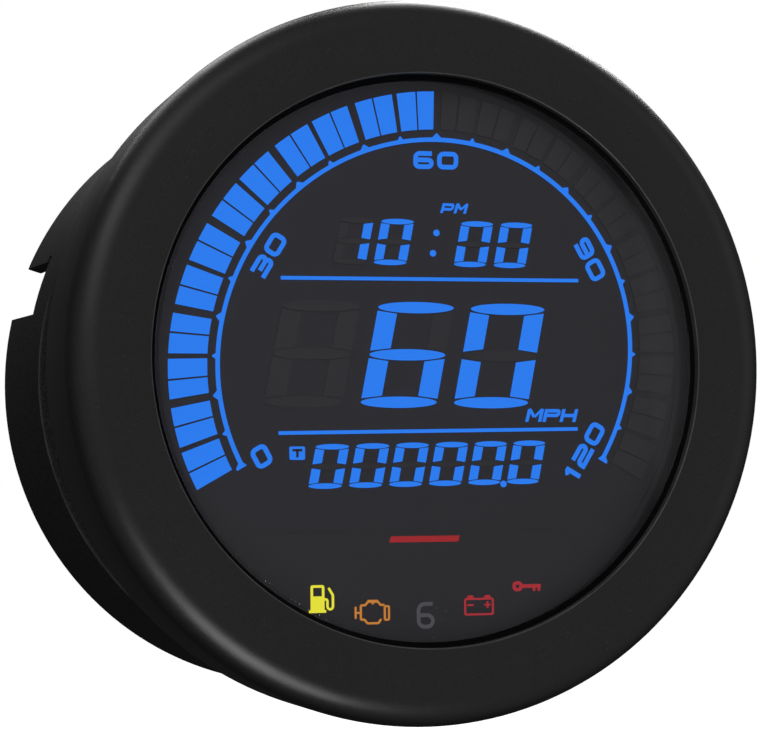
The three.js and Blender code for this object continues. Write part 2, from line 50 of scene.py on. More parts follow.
MM = 0.001

# Depths are millimetres behind the dial plane, which lies 4 mm behind the bezel's front.
BEZEL_FRONT = -4.0
DIAL_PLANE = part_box("bezel_ring")[0].y - BEZEL_FRONT * MM
BEZEL_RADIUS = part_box("bezel_ring")[1].x / MM
COVER_RIM_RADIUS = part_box("rear_cover")[1].x / MM
COVER_RIM = (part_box("rear_cover")[1].y - DIAL_PLANE) / MM
BEZEL_REAR_EDGE = 17.3
COVER_FRONT_EDGE = 47.3

# How many steps a turned piece is made of.
FINE = 180
MEDIUM = 72
SMALL = 40

# Places on the back, in millimetres right of and above the gauge axis.
SCREW_CIRCLE = 41.9
SCREW_ANGLES = (45, 135, 225, 315)
STUD_PLACES = (("left", -26), ("right", 26))
BUTTON_CENTRE = (0, 27)
VENT_CENTRE = (22, 28)
SOCKET_CENTRE = (0, -27)
CONTACT_PLACES = (-6.6, -2.2, 2.2, 6.6)
NOTCH_ANGLES = (17.5, 162.5)


def at(depth):
    return DIAL_PLANE + depth * MM


def on_circle(radius, degrees):
    turn = math.radians(degrees)
    return radius * math.cos(turn), radius * math.sin(turn)


# Shader node helpers.


def new_group(name, outputs, **inputs):
    tree = bpy.data.node_groups.new(name, "ShaderNodeTree")
    for label, value in inputs.items():
        kind = "NodeSocketColor" if isinstance(value, tuple) else "NodeSocketFloat"
        socket = tree.interface.new_socket(label.replace("_", " "), in_out="INPUT",
                                           socket_type=kind)
        socket.default_value = value
    for label in outputs:
        kind = "NodeSocketColor" if label == "Colour" else "NodeSocketFloat"
        tree.interface.new_socket(label, in_out="OUTPUT", socket_type=kind)
    return tree, tree.nodes.new("NodeGroupInput"), tree.nodes.new("NodeGroupOutput")


def link(tree, source, target):
    tree.links.new(source, target)


def noise(tree, vector, scale, detail=3.0, roughness=0.5):
    node = tree.nodes.new("ShaderNodeTexNoise")
    node.inputs["Detail"].default_value = detail
    node.inputs["Roughness"].default_value = roughness
    link(tree, vector, node.inputs["Vector"])
    if isinstance(scale, (int, float)):
        node.inputs["Scale"].default_value = scale
    else:
        link(tree, scale, node.inputs["Scale"])
    return node.outputs["Fac"]


def ranged(tree, value, low, high, out_low=0.0, out_high=1.0):
    node = tree.nodes.new("ShaderNodeMapRange")
    link(tree, value, node.inputs["Value"])
    node.inputs["From Min"].default_value = low
    node.inputs["From Max"].default_value = high
    node.inputs["To Min"].default_value = out_low
    node.inputs["To Max"].default_value = out_high
    return node.outputs["Result"]


def maths(tree, operation, first, second):
    node = tree.nodes.new("ShaderNodeMath")
    node.operation = operation
    for slot, value in enumerate((first, second)):
        if isinstance(value, (int, float)):
            node.inputs[slot].default_value = value
        else:
            link(tree, value, node.inputs[slot])
    return node.outputs["Value"]


def mixed(tree, factor, first, second):
    node = tree.nodes.new("ShaderNodeMix")
    node.data_type = "RGBA"
    sockets = {"Factor_Float": factor, "A_Color": first, "B_Color": second}
    for socket in node.inputs:
        value = sockets.get(socket.identifier)
        if value is None:
            continue
        if isinstance(value, (int, float, tuple)):
            socket.default_value = value
        else:
            link(tree, value, socket)
    return [s for s in node.outputs if s.identifier == "Result_Color"][0]


def object_place(tree):
    return tree.nodes.new("ShaderNodeTexCoord").outputs["Object"]


def grey(level):
    return (level, level, level, 1)


# Fine fleck in a coating: sparse lighter grains, a soft cloud in the gloss, and a fine tooth.
def make_coating_fleck():
    tree, given, result = new_group(
        "coating_fleck", ("Colour", "Roughness", "Height"), Colour=grey(0.01),
        Fleck_Colour=grey(0.03), Grain_Scale=4000.0, Fleck_Amount=0.5, Roughness=0.42,
        Roughness_Spread=0.06)
    place = object_place(tree)
    grain = noise(tree, place, given.outputs["Grain Scale"], 2.0, 0.6)
    fleck = ranged(tree, grain, 0.55, 0.72)
    amount = maths(tree, "MULTIPLY", fleck, given.outputs["Fleck Amount"])
    colour = mixed(tree, amount, given.outputs["Colour"], given.outputs["Fleck Colour"])
    link(tree, colour, result.inputs["Colour"])
    cloud = ranged(tree, noise(tree, place, 38.0, 4.0), 0.35, 0.65, -1.0, 1.0)
    spread = maths(tree, "MULTIPLY", cloud, given.outputs["Roughness Spread"])
    link(tree, maths(tree, "ADD", spread, given.outputs["Roughness"]), result.inputs["Roughness"])
    link(tree, grain, result.inputs["Height"])
    return tree


def line_mask(tree, given, result, offset, full_to, patches):
    """Turns the distance from a line into a soft mask, broken up by the patches."""
    away = maths(tree, "ABSOLUTE", offset, 0.0)
    near = maths(tree, "DIVIDE", away, given.outputs["Half Width"])
    line = ranged(tree, near, full_to, 1.2, 1.0, 0.0)
    mask = maths(tree, "MULTIPLY", maths(tree, "MULTIPLY", line, patches),
                 given.outputs["Strength"])
    link(tree, mask, result.inputs["Mask"])


# Painted highlight: a lighter line, broken into patches, where a turned piece has an edge of the
# given radius, standing in for light caught by that edge.
def make_turned_edge():
    tree, given, result = new_group("edge_highlight", ("Mask",), Radius=0.0424,
                                    Half_Width=0.0003, Strength=0.5)
    place = object_place(tree)
    apart = tree.nodes.new("ShaderNodeSeparateXYZ")
    link(tree, place, apart.inputs["Vector"])
    across = maths(tree, "MULTIPLY", apart.outputs["X"], apart.outputs["X"])
    up = maths(tree, "MULTIPLY", apart.outputs["Z"], apart.outputs["Z"])
    radius = maths(tree, "SQRT", maths(tree, "ADD", across, up), 0.0)
    offset = maths(tree, "SUBTRACT", radius, given.outputs["Radius"])
    patches = ranged(tree, noise(tree, place, 180.0, 3.0), 0.3, 0.6, 0.55, 1.0)
    line_mask(tree, given, result, offset, 0.4, patches)
    return tree


# Painted highlight: a lighter line round a piece at the given depth along the gauge axis, broken
# into patches, standing in for light caught by a rim edge.
def make_rim_line():
    tree, given, result = new_group("rim_highlight", ("Mask",), Place=0.0, Half_Width=0.0003,
                                    Strength=0.5)
    place = object_place(tree)
    apart = tree.nodes.new("ShaderNodeSeparateXYZ")
    link(tree, place, apart.inputs["Vector"])
    offset = maths(tree, "SUBTRACT", apart.outputs["Y"], given.outputs["Place"])
    patches = ranged(tree, noise(tree, place, 70.0, 3.0), 0.35, 0.6, 0.2, 1.0)
    line_mask(tree, given, result, offset, 0.3, patches)
    return tree


# Spark-eroded mould texture: small pits with a slight change of tone.
def make_mould_texture():
    tree, given, result = new_group(
        "mould_texture", ("Colour", "Roughness", "Height"), Colour=grey(0.01),
        High_Colour=grey(0.02), Pit_Scale=2600.0, Roughness=0.6)
    place = object_place(tree)
    pits = tree.nodes.new("ShaderNodeTexVoronoi")
    link(tree, place, pits.inputs["Vector"])
    link(tree, given.outputs["Pit Scale"], pits.inputs["Scale"])
    fine = noise(tree, place, given.outputs["Pit Scale"], 3.0)
    height = maths(tree, "ADD", pits.outputs["Distance"], fine)
    colour = mixed(tree, ranged(tree, height, 0.6, 1.3), given.outputs["Colour"],
                   given.outputs["High Colour"])
    link(tree, colour, result.inputs["Colour"])
    cloud = ranged(tree, noise(tree, place, 60.0, 3.0), 0.3, 0.7, -0.07, 0.07)
    link(tree, maths(tree, "ADD", cloud, given.outputs["Roughness"]), result.inputs["Roughness"])
    link(tree, height, result.inputs["Height"])
    return tree


# Dust that has settled on a surface, as a sparse mask of small specks.
def make_dust():
    tree, given, result = new_group("dust", ("Mask",), Scale=700.0, Amount=0.3)
    place = object_place(tree)
    specks = tree.nodes.new("ShaderNodeTexVoronoi")
    link(tree, place, specks.inputs["Vector"])
    link(tree, given.outputs["Scale"], specks.inputs["Scale"])
    dots = ranged(tree, specks.outputs["Distance"], 0.05, 0.12, 1.0, 0.0)
    patches = ranged(tree, noise(tree, place, 90.0, 2.0), 0.58, 0.66)
    mask = maths(tree, "MULTIPLY", maths(tree, "MULTIPLY", dots, patches),
                 given.outputs["Amount"])
    link(tree, mask, result.inputs["Mask"])
    return tree


COATING_FLECK = make_coating_fleck()
EDGE_HIGHLIGHT = make_turned_edge()
RIM_HIGHLIGHT = make_rim_line()
MOULD_TEXTURE = make_mould_texture()
DUST = make_dust()


def group_node(tree, group, **values):
    node = tree.nodes.new("ShaderNodeGroup")
    node.node_tree = group
    for label, value in values.items():
        node.inputs[label.replace("_", " ")].default_value = value
    return node


def new_material(name, metallic=0.0, specular=0.5):
    material = bpy.data.materials.new(name)
    material.use_nodes = True
    tree = material.node_tree
    shader = tree.nodes["Principled BSDF"]
    shader.inputs["Metallic"].default_value = metallic
    shader.inputs["Specular IOR Level"].default_value = specular
    return material, tree, shader


def add_bump(tree, shader, height, strength, distance):
    bump = tree.nodes.new("ShaderNodeBump")
    bump.inputs["Strength"].default_value = strength
    bump.inputs["Distance"].default_value = distance
    link(tree, height, bump.inputs["Height"])
    link(tree, bump.outputs["Normal"], shader.inputs["Normal"])


def coat(tree, shader, colour, fleck_colour, grain, amount, roughness, spread):
    """Puts a flecked coating on a shader, and gives back its group for more work."""
    fleck = group_node(tree, COATING_FLECK, Colour=colour, Fleck_Colour=fleck_colour,
                       Grain_Scale=grain, Fleck_Amount=amount, Roughness=roughness,
                       Roughness_Spread=spread)
    link(tree, fleck.outputs["Colour"], shader.inputs["Base Color"])
    link(tree, fleck.outputs["Roughness"], shader.inputs["Roughness"])
    return fleck


# Finishes of the pieces.


def satin_bezel():
    material, tree, shader = new_material("satin_black_bezel", specular=0.3)
    fleck = coat(tree, shader, grey(0.01), grey(0.034), 4200.0, 0.5, 0.42, 0.06)
    # Painted highlight: a lighter line, grey(0.14), along the bezel's inner lip, standing in for
    # light caught by its edge.
    lip = group_node(tree, EDGE_HIGHLIGHT, Radius=0.04258, Half_Width=0.0001, Strength=0.4)
    # Painted highlight: a lighter line, grey(0.1), along the bezel's rear edge, standing in for
    # light caught by that edge.
    rear = group_node(tree, RIM_HIGHLIGHT, Place=at(BEZEL_REAR_EDGE), Half_Width=0.00012,
                      Strength=0.4)
    dust = group_node(tree, DUST, Scale=620.0, Amount=0.12)
    lip_highlighted = mixed(tree, lip.outputs["Mask"], fleck.outputs["Colour"], grey(0.14))
    rim_highlighted = mixed(tree, rear.outputs["Mask"], lip_highlighted, grey(0.1))
    dusty = mixed(tree, dust.outputs["Mask"], rim_highlighted, grey(0.15))
    link(tree, dusty, shader.inputs["Base Color"])
    add_bump(tree, shader, fleck.outputs["Height"], 0.12, 0.00008)
    return material


def moulded(name, low, high, pits, roughness):
    material, tree, shader = new_material(name, specular=0.08)
    mould = group_node(tree, MOULD_TEXTURE, Colour=grey(low), High_Colour=grey(high),
                       Pit_Scale=pits, Roughness=roughness)
    # Painted highlight: a lighter line, grey(0.15), along the cover's front edge, standing in for
    # light caught by that edge; it falls on every piece of this finish at that depth.
    edge = group_node(tree, RIM_HIGHLIGHT, Place=at(COVER_FRONT_EDGE), Half_Width=0.00018,
                      Strength=0.3)
    rim_highlighted = mixed(tree, edge.outputs["Mask"], mould.outputs["Colour"], grey(0.15))
    dust = group_node(tree, DUST, Scale=520.0, Amount=0.15)
    link(tree, mixed(tree, dust.outputs["Mask"], rim_highlighted, grey(0.12)), shader.inputs["Base Color"])
    link(tree, mould.outputs["Roughness"], shader.inputs["Roughness"])
    add_bump(tree, shader, mould.outputs["Height"], 0.25, 0.00012)
    return material


def rubber(name, low, high, specular):
    material, tree, shader = new_material(name, specular=specular)
    fleck = coat(tree, shader, grey(low), grey(high), 1500.0, 0.5, 0.78, 0.08)
    add_bump(tree, shader, fleck.outputs["Height"], 0.3, 0.0001)
    return material


def dark_display():
    material, tree, shader = new_material("dark_display_film", specular=0.2)
    fleck = coat(tree, shader, (0.029, 0.0277, 0.0352, 1), (0.034, 0.0323, 0.0395, 1),
                 900.0, 0.35, 0.5, 0.05)
    dust = group_node(tree, DUST, Scale=430.0, Amount=0.2)
    link(tree, mixed(tree, dust.outputs["Mask"], fleck.outputs["Colour"], grey(0.16)),
         shader.inputs["Base Color"])
    return material


def ghost_segment():
    material, tree, shader = new_material("segment_at_rest", specular=0.2)
    coat(tree, shader, (0.04, 0.038, 0.042, 1), (0.046, 0.044, 0.048, 1), 700.0, 0.5, 0.5,
         0.04)
    return material


def lit(name, colour, strength=1.0):
    material, tree, shader = new_material(name, specular=0.1)
    dim = tuple(0.05 * part for part in colour) + (1,)
    dim_fleck = tuple(0.09 * part for part in colour) + (1,)
    coat(tree, shader, dim, dim_fleck, 900.0, 0.5, 0.5, 0.05)
    shader.inputs["Emission Color"].default_value = tuple(colour) + (1,)
    shader.inputs["Emission Strength"].default_value = strength
    return material


def clear_lens():
    material, tree, shader = new_material("clear_lens", metallic=1.0)
    shader.inputs["Base Color"].default_value = grey(0.9)
    haze = group_node(tree, DUST, Scale=380.0, Amount=0.1)
    link(tree, maths(tree, "ADD", haze.outputs["Mask"], 0.05), shader.inputs["Roughness"])
    clear = tree.nodes.new("ShaderNodeBsdfTransparent")
    clear.inputs["Color"].default_value = (0.97, 0.97, 0.98, 1)
    gloss = tree.nodes.new("ShaderNodeFresnel")
    gloss.inputs["IOR"].default_value = 1.3
    facing = tree.nodes.new("ShaderNodeSeparateXYZ")
    link(tree, tree.nodes.new("ShaderNodeNewGeometry").outputs["Normal"], facing.inputs["Vector"])
    flat = maths(tree, "POWER", maths(tree, "ABSOLUTE", facing.outputs["Y"], 0.0), 4.0)
    blend = tree.nodes.new("ShaderNodeMixShader")
    link(tree, maths(tree, "MULTIPLY", gloss.outputs["Fac"], flat), blend.inputs["Fac"])
    link(tree, clear.outputs["BSDF"], blend.inputs[1])
    link(tree, shader.outputs["BSDF"], blend.inputs[2])
    output = tree.nodes["Material Output"]
    link(tree, blend.outputs["Shader"], output.inputs["Surface"])
    return material


def display_glass():
    material, tree, shader = new_material("display_glass")
    shader.inputs["Transmission Weight"].default_value = 1.0
    shader.inputs["IOR"].default_value = 1.5
    coat(tree, shader, (0.82, 0.9, 0.88, 1), (0.74, 0.84, 0.82, 1), 600.0, 0.4, 0.06, 0.02)
    return material


def white_plastic():
    material, tree, shader = new_material("white_plastic")
    fleck = coat(tree, shader, (0.78, 0.78, 0.74, 1), (0.7, 0.7, 0.66, 1), 1100.0, 0.5, 0.5,
                 0.08)
    add_bump(tree, shader, fleck.outputs["Height"], 0.15, 0.00008)
    return material


def board_green():
    material, tree, shader = new_material("board_green")
    tracks = tree.nodes.new("ShaderNodeTexBrick")
    link(tree, object_place(tree), tracks.inputs["Vector"])
    tracks.inputs["Scale"].default_value = 260.0
    tracks.inputs["Mortar Size"].default_value = 0.03
    tracks.inputs["Color1"].default_value = (0.012, 0.11, 0.045, 1)
    tracks.inputs["Color2"].default_value = (0.014, 0.135, 0.055, 1)
    tracks.inputs["Mortar"].default_value = (0.04, 0.21, 0.09, 1)
    fleck = coat(tree, shader, (0.01, 0.1, 0.04, 1), (0.03, 0.17, 0.07, 1), 1500.0, 0.5,
                 0.34, 0.06)
    link(tree, mixed(tree, 0.4, tracks.outputs["Color"], fleck.outputs["Colour"]),
         shader.inputs["Base Color"])
    return material


def zinc_steel():
    material, tree, shader = new_material("zinc_plated_steel", metallic=1.0)
    fleck = coat(tree, shader, (0.46, 0.47, 0.49, 1), (0.62, 0.62, 0.6, 1), 650.0, 0.7, 0.3,
                 0.1)
    add_bump(tree, shader, fleck.outputs["Height"], 0.15, 0.00006)
    return material


def contact_tin():
    material, tree, shader = new_material("contact_tin", metallic=1.0)
    coat(tree, shader, (0.66, 0.66, 0.64, 1), (0.5, 0.5, 0.5, 1), 1800.0, 0.6, 0.34, 0.08)
    return material


SATIN_BEZEL = satin_bezel()
CASE = moulded("moulded_black_case", 0.007, 0.017, 2400.0, 0.6)
RUBBER = rubber("black_rubber", 0.018, 0.055, 0.25)
# Very dark rubber for the seal: partly the gasket's own black, partly painted shade in the groove
# round the lens.
SEAL_RUBBER_SHADE = rubber("seal_rubber_painted_shade", 0.004, 0.011, 0.06)
DISPLAY = dark_display()
GHOST = ghost_segment()
LIT_BLUE = lit("segment_lit_blue", (0.014, 0.2, 0.88))
LAMP_YELLOW = lit("telltale_yellow", (0.82, 0.78, 0.035))
LAMP_ORANGE = lit("telltale_orange", (0.55, 0.2, 0.03))
LAMP_RED = lit("telltale_red", (0.36, 0.018, 0.028))
# The gear sign is off: its dim grey emission is a painted glow standing in for the light its
# print gives back.
LAMP_OFF_GLOW = lit("telltale_off_painted_glow", (0.06, 0.06, 0.068))
STRIPE_RED = lit("printed_red", (0.4, 0.015, 0.02), 0.8)
LENS = clear_lens()
DISPLAY_GLASS = display_glass()
WHITE_PLASTIC = white_plastic()
BOARD = board_green()
CHIP = moulded("chip_black", 0.012, 0.022, 5000.0, 0.5)
STEEL = zinc_steel()
TIN = contact_tin()

NODE_FINISH = {
    "bezel_black": SATIN_BEZEL,
    "lens_clear": LENS,
    "case_black": CASE,
    "rubber_black": RUBBER,
    "display_dark": DISPLAY,
    "display_glass": DISPLAY_GLASS,
    "white_plastic": WHITE_PLASTIC,
    "board_green": BOARD,
    "chip_black": CHIP,
    "zinc_steel": STEEL,
    "contact_tin": TIN,
}


def dress_cad_nodes():
    for part in frame["record"]["subparts"]:
        mesh = nodes[part["node"]].data
        mesh.materials.clear()
        mesh.materials.append(NODE_FINISH[part["material_slot"]])


# Mesh helpers.


def new_object(name, data):
    made = bpy.data.objects.new(name, data)
    bpy.context.scene.collection.objects.link(made)
    return made


def finished(name, bm, material, replaced=(), body="gauge", crease=32.0):
    bmesh.ops.remove_doubles(bm, verts=bm.verts, dist=1e-6)
    bmesh.ops.recalc_face_normals(bm, faces=bm.faces)
    mesh = bpy.data.meshes.new(name)
    bm.to_mesh(mesh)
    bm.free()
    return stood(name, mesh, material, replaced, body, crease)


def stood(name, mesh, material, replaced=(), body="gauge", crease=32.0):
    mesh.materials.clear()
    mesh.materials.append(material)
    mesh.shade_smooth()
    mesh.set_sharp_from_angle(angle=math.radians(crease))
    piece = new_object(name, mesh)
    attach(piece, body)
    if replaced:
        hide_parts(*replaced)
    return piece


def turned(outline, rounds=(), steps=MEDIUM, centre=(0.0, 0.0), into=None):
    """A closed outline of (radius, depth) turned about a line beside the gauge axis."""
    bm = bmesh.new()
    line_x = centre[0] * MM
    line_z = centre[1] * MM
    corners = [bm.verts.new((line_x + radius * MM, at(depth), line_z))
               for radius, depth in outline]
    bm.faces.new(corners)
    for size, segments, picked in rounds:
        bmesh.ops.bevel(bm, geom=[corners[i] for i in picked], offset=size * MM,
                        offset_type="OFFSET", segments=segments, profile=0.5,
                        affect="VERTICES", material=-1, clamp_overlap=True)
    bmesh.ops.delete(bm, geom=bm.faces[:], context="FACES_ONLY")
    on_line = [edge for edge in bm.edges
               if all(abs(vert.co.x - line_x) < 1e-7 for vert in edge.verts)]
    bmesh.ops.delete(bm, geom=on_line, context="EDGES")
    bmesh.ops.spin(bm, geom=bm.verts[:] + bm.edges[:], cent=(line_x, 0, line_z),
                   axis=(0, 1, 0), dvec=(0, 0, 0), angle=math.tau, steps=steps,
                   use_merge=True, use_duplicate=False)
    bmesh.ops.remove_doubles(bm, verts=bm.verts, dist=1e-7)
    bmesh.ops.recalc_face_normals(bm, faces=bm.faces)
    return merged(into, bm)


def merged(into, bm):
    if into is None:
        return bm
    mesh = bpy.data.meshes.new("loose")
    bm.to_mesh(mesh)
    bm.free()
    into.from_mesh(mesh)
    bpy.data.meshes.remove(mesh)
    return into


def pin(radius, front, back, centre, steps=SMALL, edge=0.0, into=None):
    rounds = [(edge, 2, (1, 2))] if edge else []
    outline = [(0, front), (radius, front), (radius, back), (0, back)]
    return turned(outline, rounds, steps, centre, into)


def brick(width, height, front, back, centre, edge=0.0, turn=0.0, into=None):
    bm = bmesh.new()
    bmesh.ops.create_cube(bm, size=1.0)
    bmesh.ops.scale(bm, verts=bm.verts, vec=(width * MM, (back - front) * MM, height * MM))
    if edge:
        bmesh.ops.bevel(bm, geom=bm.edges[:], offset=edge * MM, offset_type="OFFSET",
                        segments=2, profile=0.5, affect="EDGES", material=-1)
    bmesh.ops.translate(bm, verts=bm.verts,
                        vec=(centre[0] * MM, at((front + back) / 2), centre[1] * MM))
    if turn:
        bmesh.ops.rotate(bm, verts=bm.verts, cent=(0, 0, 0),
                         matrix=Matrix.Rotation(-math.radians(turn), 3, "Y"))
    return merged(into, bm)


def combined(base, steps):
    """The base with each tool in turn joined to it, cut from it or kept where both are."""
    body_mesh = bpy.data.meshes.new("work")
    base.to_mesh(body_mesh)
    base.free()
    body = new_object("work", body_mesh)
    tools = []
    for operation, tool in steps:
        tool_mesh = bpy.data.meshes.new("tool")
        tool.to_mesh(tool_mesh)
        tool.free()
        helper = new_object("tool", tool_mesh)
        modifier = body.modifiers.new("shape", "BOOLEAN")
        modifier.operation = operation
        modifier.solver = "EXACT"
        modifier.object = helper
        tools.append(helper)
    seen = bpy.context.evaluated_depsgraph_get()
    shaped = bpy.data.meshes.new_from_object(body.evaluated_get(seen))
    clean = bmesh.new()
    clean.from_mesh(shaped)
    bmesh.ops.remove_doubles(clean, verts=clean.verts, dist=1e-6)
    bmesh.ops.dissolve_degenerate(clean, edges=clean.edges, dist=1e-6)
    clean.to_mesh(shaped)
    clean.free()
    for helper in tools + [body]:
        old = helper.data
        bpy.data.objects.remove(helper)
        bpy.data.meshes.remove(old)
    return shaped


# Bezel, lens and case.


def build_bezel():
    wall = BEZEL_RADIUS - 1.6
    ridge = -3.7
    bm = turned([
        (42.5, BEZEL_FRONT + 0.1), (42.6, BEZEL_FRONT), (49.75, ridge), (BEZEL_RADIUS, ridge),
        (BEZEL_RADIUS, 17.4), (50.9, 17.4), (50.9, 16.1), (wall, 16.1),
        (wall, -0.6), (50.0, -2.7), (42.5, -2.7),
    ], [(0.05, 3, (0, 1)), (4.5, 16, (3,)), (0.45, 4, (4,)), (0.25, 2, (5,))], FINE)
    finished("bezel_turned", bm, SATIN_BEZEL, ["bezel_ring"])


def build_lens():
    bm = turned([
        (0, -3.4), (41.5, -3.4), (41.5, -1.4), (51, -1.4), (51, 0.3), (0, 0.3),
    ], [(0.12, 3, (1,)), (0.2, 2, (3, 4))], FINE)
    finished("lens_stepped", bm, LENS, ["lens"])


def build_seal():
    """The gasket under the bezel's lip, whose inner lip fills the groove round the lens. It is
    partly the real gasket and partly painted shade: the lip and its very dark rubber stand in for
    the shadow in that groove.
    """
    bm = turned([
        (41.75, -2.3), (42.3, -2.4), (49.6, -2.4), (49.6, -1.7), (41.75, -1.7),
    ], [(0.2, 3, (0,)), (0.15, 2, (2, 3))], FINE)
    finished("seal_lipped", bm, SEAL_RUBBER_SHADE, ["lens_seal"])


def build_housing():
    bm = turned([
        (47.2, 0.6), (52, 0.6), (52, 2.6), (50, 2.6), (50, 12.6), (52, 12.6),
        (52, 15.8), (48.5, 15.8), (48.5, 46.7), (45, 46.7), (45, 49.3),
        (43.2, 49.3), (43.2, 45), (44.6, 43), (44.6, 22.2), (47.2, 19.6),
    ], [(0.4, 3, (8,)), (0.25, 2, (1, 2, 5, 6, 10, 11))], FINE)
    for degrees in SCREW_ANGLES:
        turned([(1.6, 50.7), (3, 50.7), (3, 32), (0, 32), (0, 39), (1.6, 39)],
               [(0.2, 2, (0, 1))], SMALL, on_circle(SCREW_CIRCLE, degrees), bm)
        brick(5, 6, 13.9, 24, (45.4, 0), 0.4, degrees, bm)
    finished("housing_shell", bm, CASE, ["front_housing"])


def notch_cuts(degrees):
    """The notch in the skirt, and the small undercut at its upper corner."""
    hand = 1 if degrees < 90 else -1
    notch = brick(10, 9.4, 56, COVER_RIM + 1, (51, 0), 0.0, degrees)
    undercut = brick(10, 2.4, 56, 57.8, (51, 4.6 * hand), 0.0, degrees)
    return [("DIFFERENCE", notch), ("DIFFERENCE", undercut)]


def build_rear_cover():
    base = turned([
        (0, 51), (46.4, 51), (46.4, 47), (50.8, 47), (COVER_RIM_RADIUS, COVER_RIM),
        (50.5, COVER_RIM), (49.4, 54.4), (48.6, 53.6), (0, 53.6),
    ], [(0.6, 4, (3,)), (0.55, 4, (4,)), (0.4, 3, (5,)), (0.3, 2, (6,))], FINE)
    raised = pin(15, 52.6, 54.4, (0, 0), MEDIUM, 0.25)
    turned([(7.2, 52.6), (7.2, 58.6), (5.2, 58.6), (4.5, 57.9), (4.5, 52.6)],
           [(0.35, 3, (1, 2))], MEDIUM, BUTTON_CENTRE, raised)
    for side, x in STUD_PLACES:
        pin(8, 52.6, 54.4, (x, 0), MEDIUM, 0.25, raised)
        pin(3, 44.3, 52, (x, 22), SMALL, 0.2, raised)
    ribs = brick(0.9, 12, 53, 54.3, (-13, -17), 0.2)
    brick(0.9, 12, 53, 54.3, (13, -17), 0.2, 0.0, ribs)
    for degrees in (68, 112, 20, 160, 200, 340):
        brick(10, 0.9, 53, 54.2, (42, 0), 0.2, degrees, ribs)
    holes = pin(4.5, 50, 60, BUTTON_CENTRE, MEDIUM)
    for degrees in SCREW_ANGLES:
        pin(1.8, 50, 55, on_circle(SCREW_CIRCLE, degrees), SMALL, 0.0, holes)
        pin(3.3, 53.3, 55, on_circle(SCREW_CIRCLE, degrees), SMALL, 0.0, holes)
    for side, x in STUD_PLACES:
        pin(2.8, 50, 56, (x, 0), SMALL, 0.0, holes)
    pin(2.0, 50, 55, VENT_CENTRE, SMALL, 0.0, holes)
    brick(24.6, 12.6, 50, 56, SOCKET_CENTRE, 0.0, 0.0, holes)
    steps = [("UNION", raised), ("UNION", ribs), ("DIFFERENCE", holes)]
    for degrees in NOTCH_ANGLES:
        steps += notch_cuts(degrees)
    stood("cover_skirted", combined(base, steps), CASE, ["rear_cover"])


# Fixings, connector and button at the back.


def build_case_screw(number, degrees):
    centre = on_circle(SCREW_CIRCLE, degrees)
    base = turned([
        (0, 40), (0.9, 40), (1.3, 41.2), (1.3, 53.9), (2.9, 53.9), (2.9, 55.0),
        (1.9, 55.9), (0, 55.9),
    ], [(0.4, 3, (5, 6))], MEDIUM, centre)
    cross = brick(3.2, 0.7, 54.8, 57, centre)
    upright = brick(0.7, 3.2, 54.8, 57, centre)
    mesh = combined(base, [("DIFFERENCE", cross), ("DIFFERENCE", upright)])
    stood(f"screw_pan_head_{number}", mesh, STEEL, [f"case_screw_{number}"])


def build_stud(side, x):
    crest = 2.5
    pitch = 0.8
    outline = [(0, 49.2), (4.8, 49.2), (4.8, 50.7), (crest, 50.7)]
    for turn_number in range(19):
        start = 52.0 + turn_number * pitch
        outline += [(crest, start), (crest - 0.38, start + pitch / 2)]
    outline += [(crest, 67.3), (1.9, 68.0), (0, 68.0)]
    bm = turned(outline, [(0.3, 2, (1, 2))], SMALL, (x, 0))
    finished(f"stud_threaded_{side}", bm, STEEL, [f"stud_{side}"], crease=25)


def build_washers(side, x):
    bm = turned([(2.8, 54.7), (7, 54.7), (7, 56.7), (2.8, 56.7)],
                [(0.6, 4, (1, 2)), (0.2, 2, (0, 3))], MEDIUM, (x, 0))
    finished(f"washer_rubber_{side}", bm, RUBBER, [f"rubber_washer_{side}"])
    bm = turned([(2.8, 57), (5.6, 57), (5.6, 58), (2.8, 58)],
                [(0.2, 2, (0, 1, 2, 3))], MEDIUM, (x, 0))
    finished(f"washer_plated_{side}", bm, STEEL, [f"steel_washer_{side}"])


def build_lock_nut(side, x):
    corner = 4.6 * MM
    base = bmesh.new()
    bmesh.ops.create_cone(base, cap_ends=True, segments=6, radius1=corner, radius2=corner,
                          depth=3.2 * MM)
    bmesh.ops.rotate(base, verts=base.verts, cent=(0, 0, 0),
                     matrix=Matrix.Rotation(math.radians(90), 3, "X"))
    bmesh.ops.translate(base, verts=base.verts, vec=(x * MM, at(59.9), 0))
    chamfer = turned([(0, 58.2), (4.0, 58.2), (5.0, 58.9), (5.0, 60.9), (4.0, 61.6),
                      (0, 61.6)], [], MEDIUM, (x, 0))
    collar = turned([(2.9, 61.3), (4.0, 61.3), (3.9, 62.7), (2.9, 62.7)],
                    [(0.45, 4, (2,)), (0.2, 2, (3,))], MEDIUM, (x, 0))
    bore = pin(2.8, 57, 64, (x, 0), SMALL)
    steps = [("INTERSECT", chamfer), ("UNION", collar), ("DIFFERENCE", bore)]
    stood(f"nut_nylon_insert_{side}", combined(base, steps), STEEL,
          [f"lock_nut_{side}"])


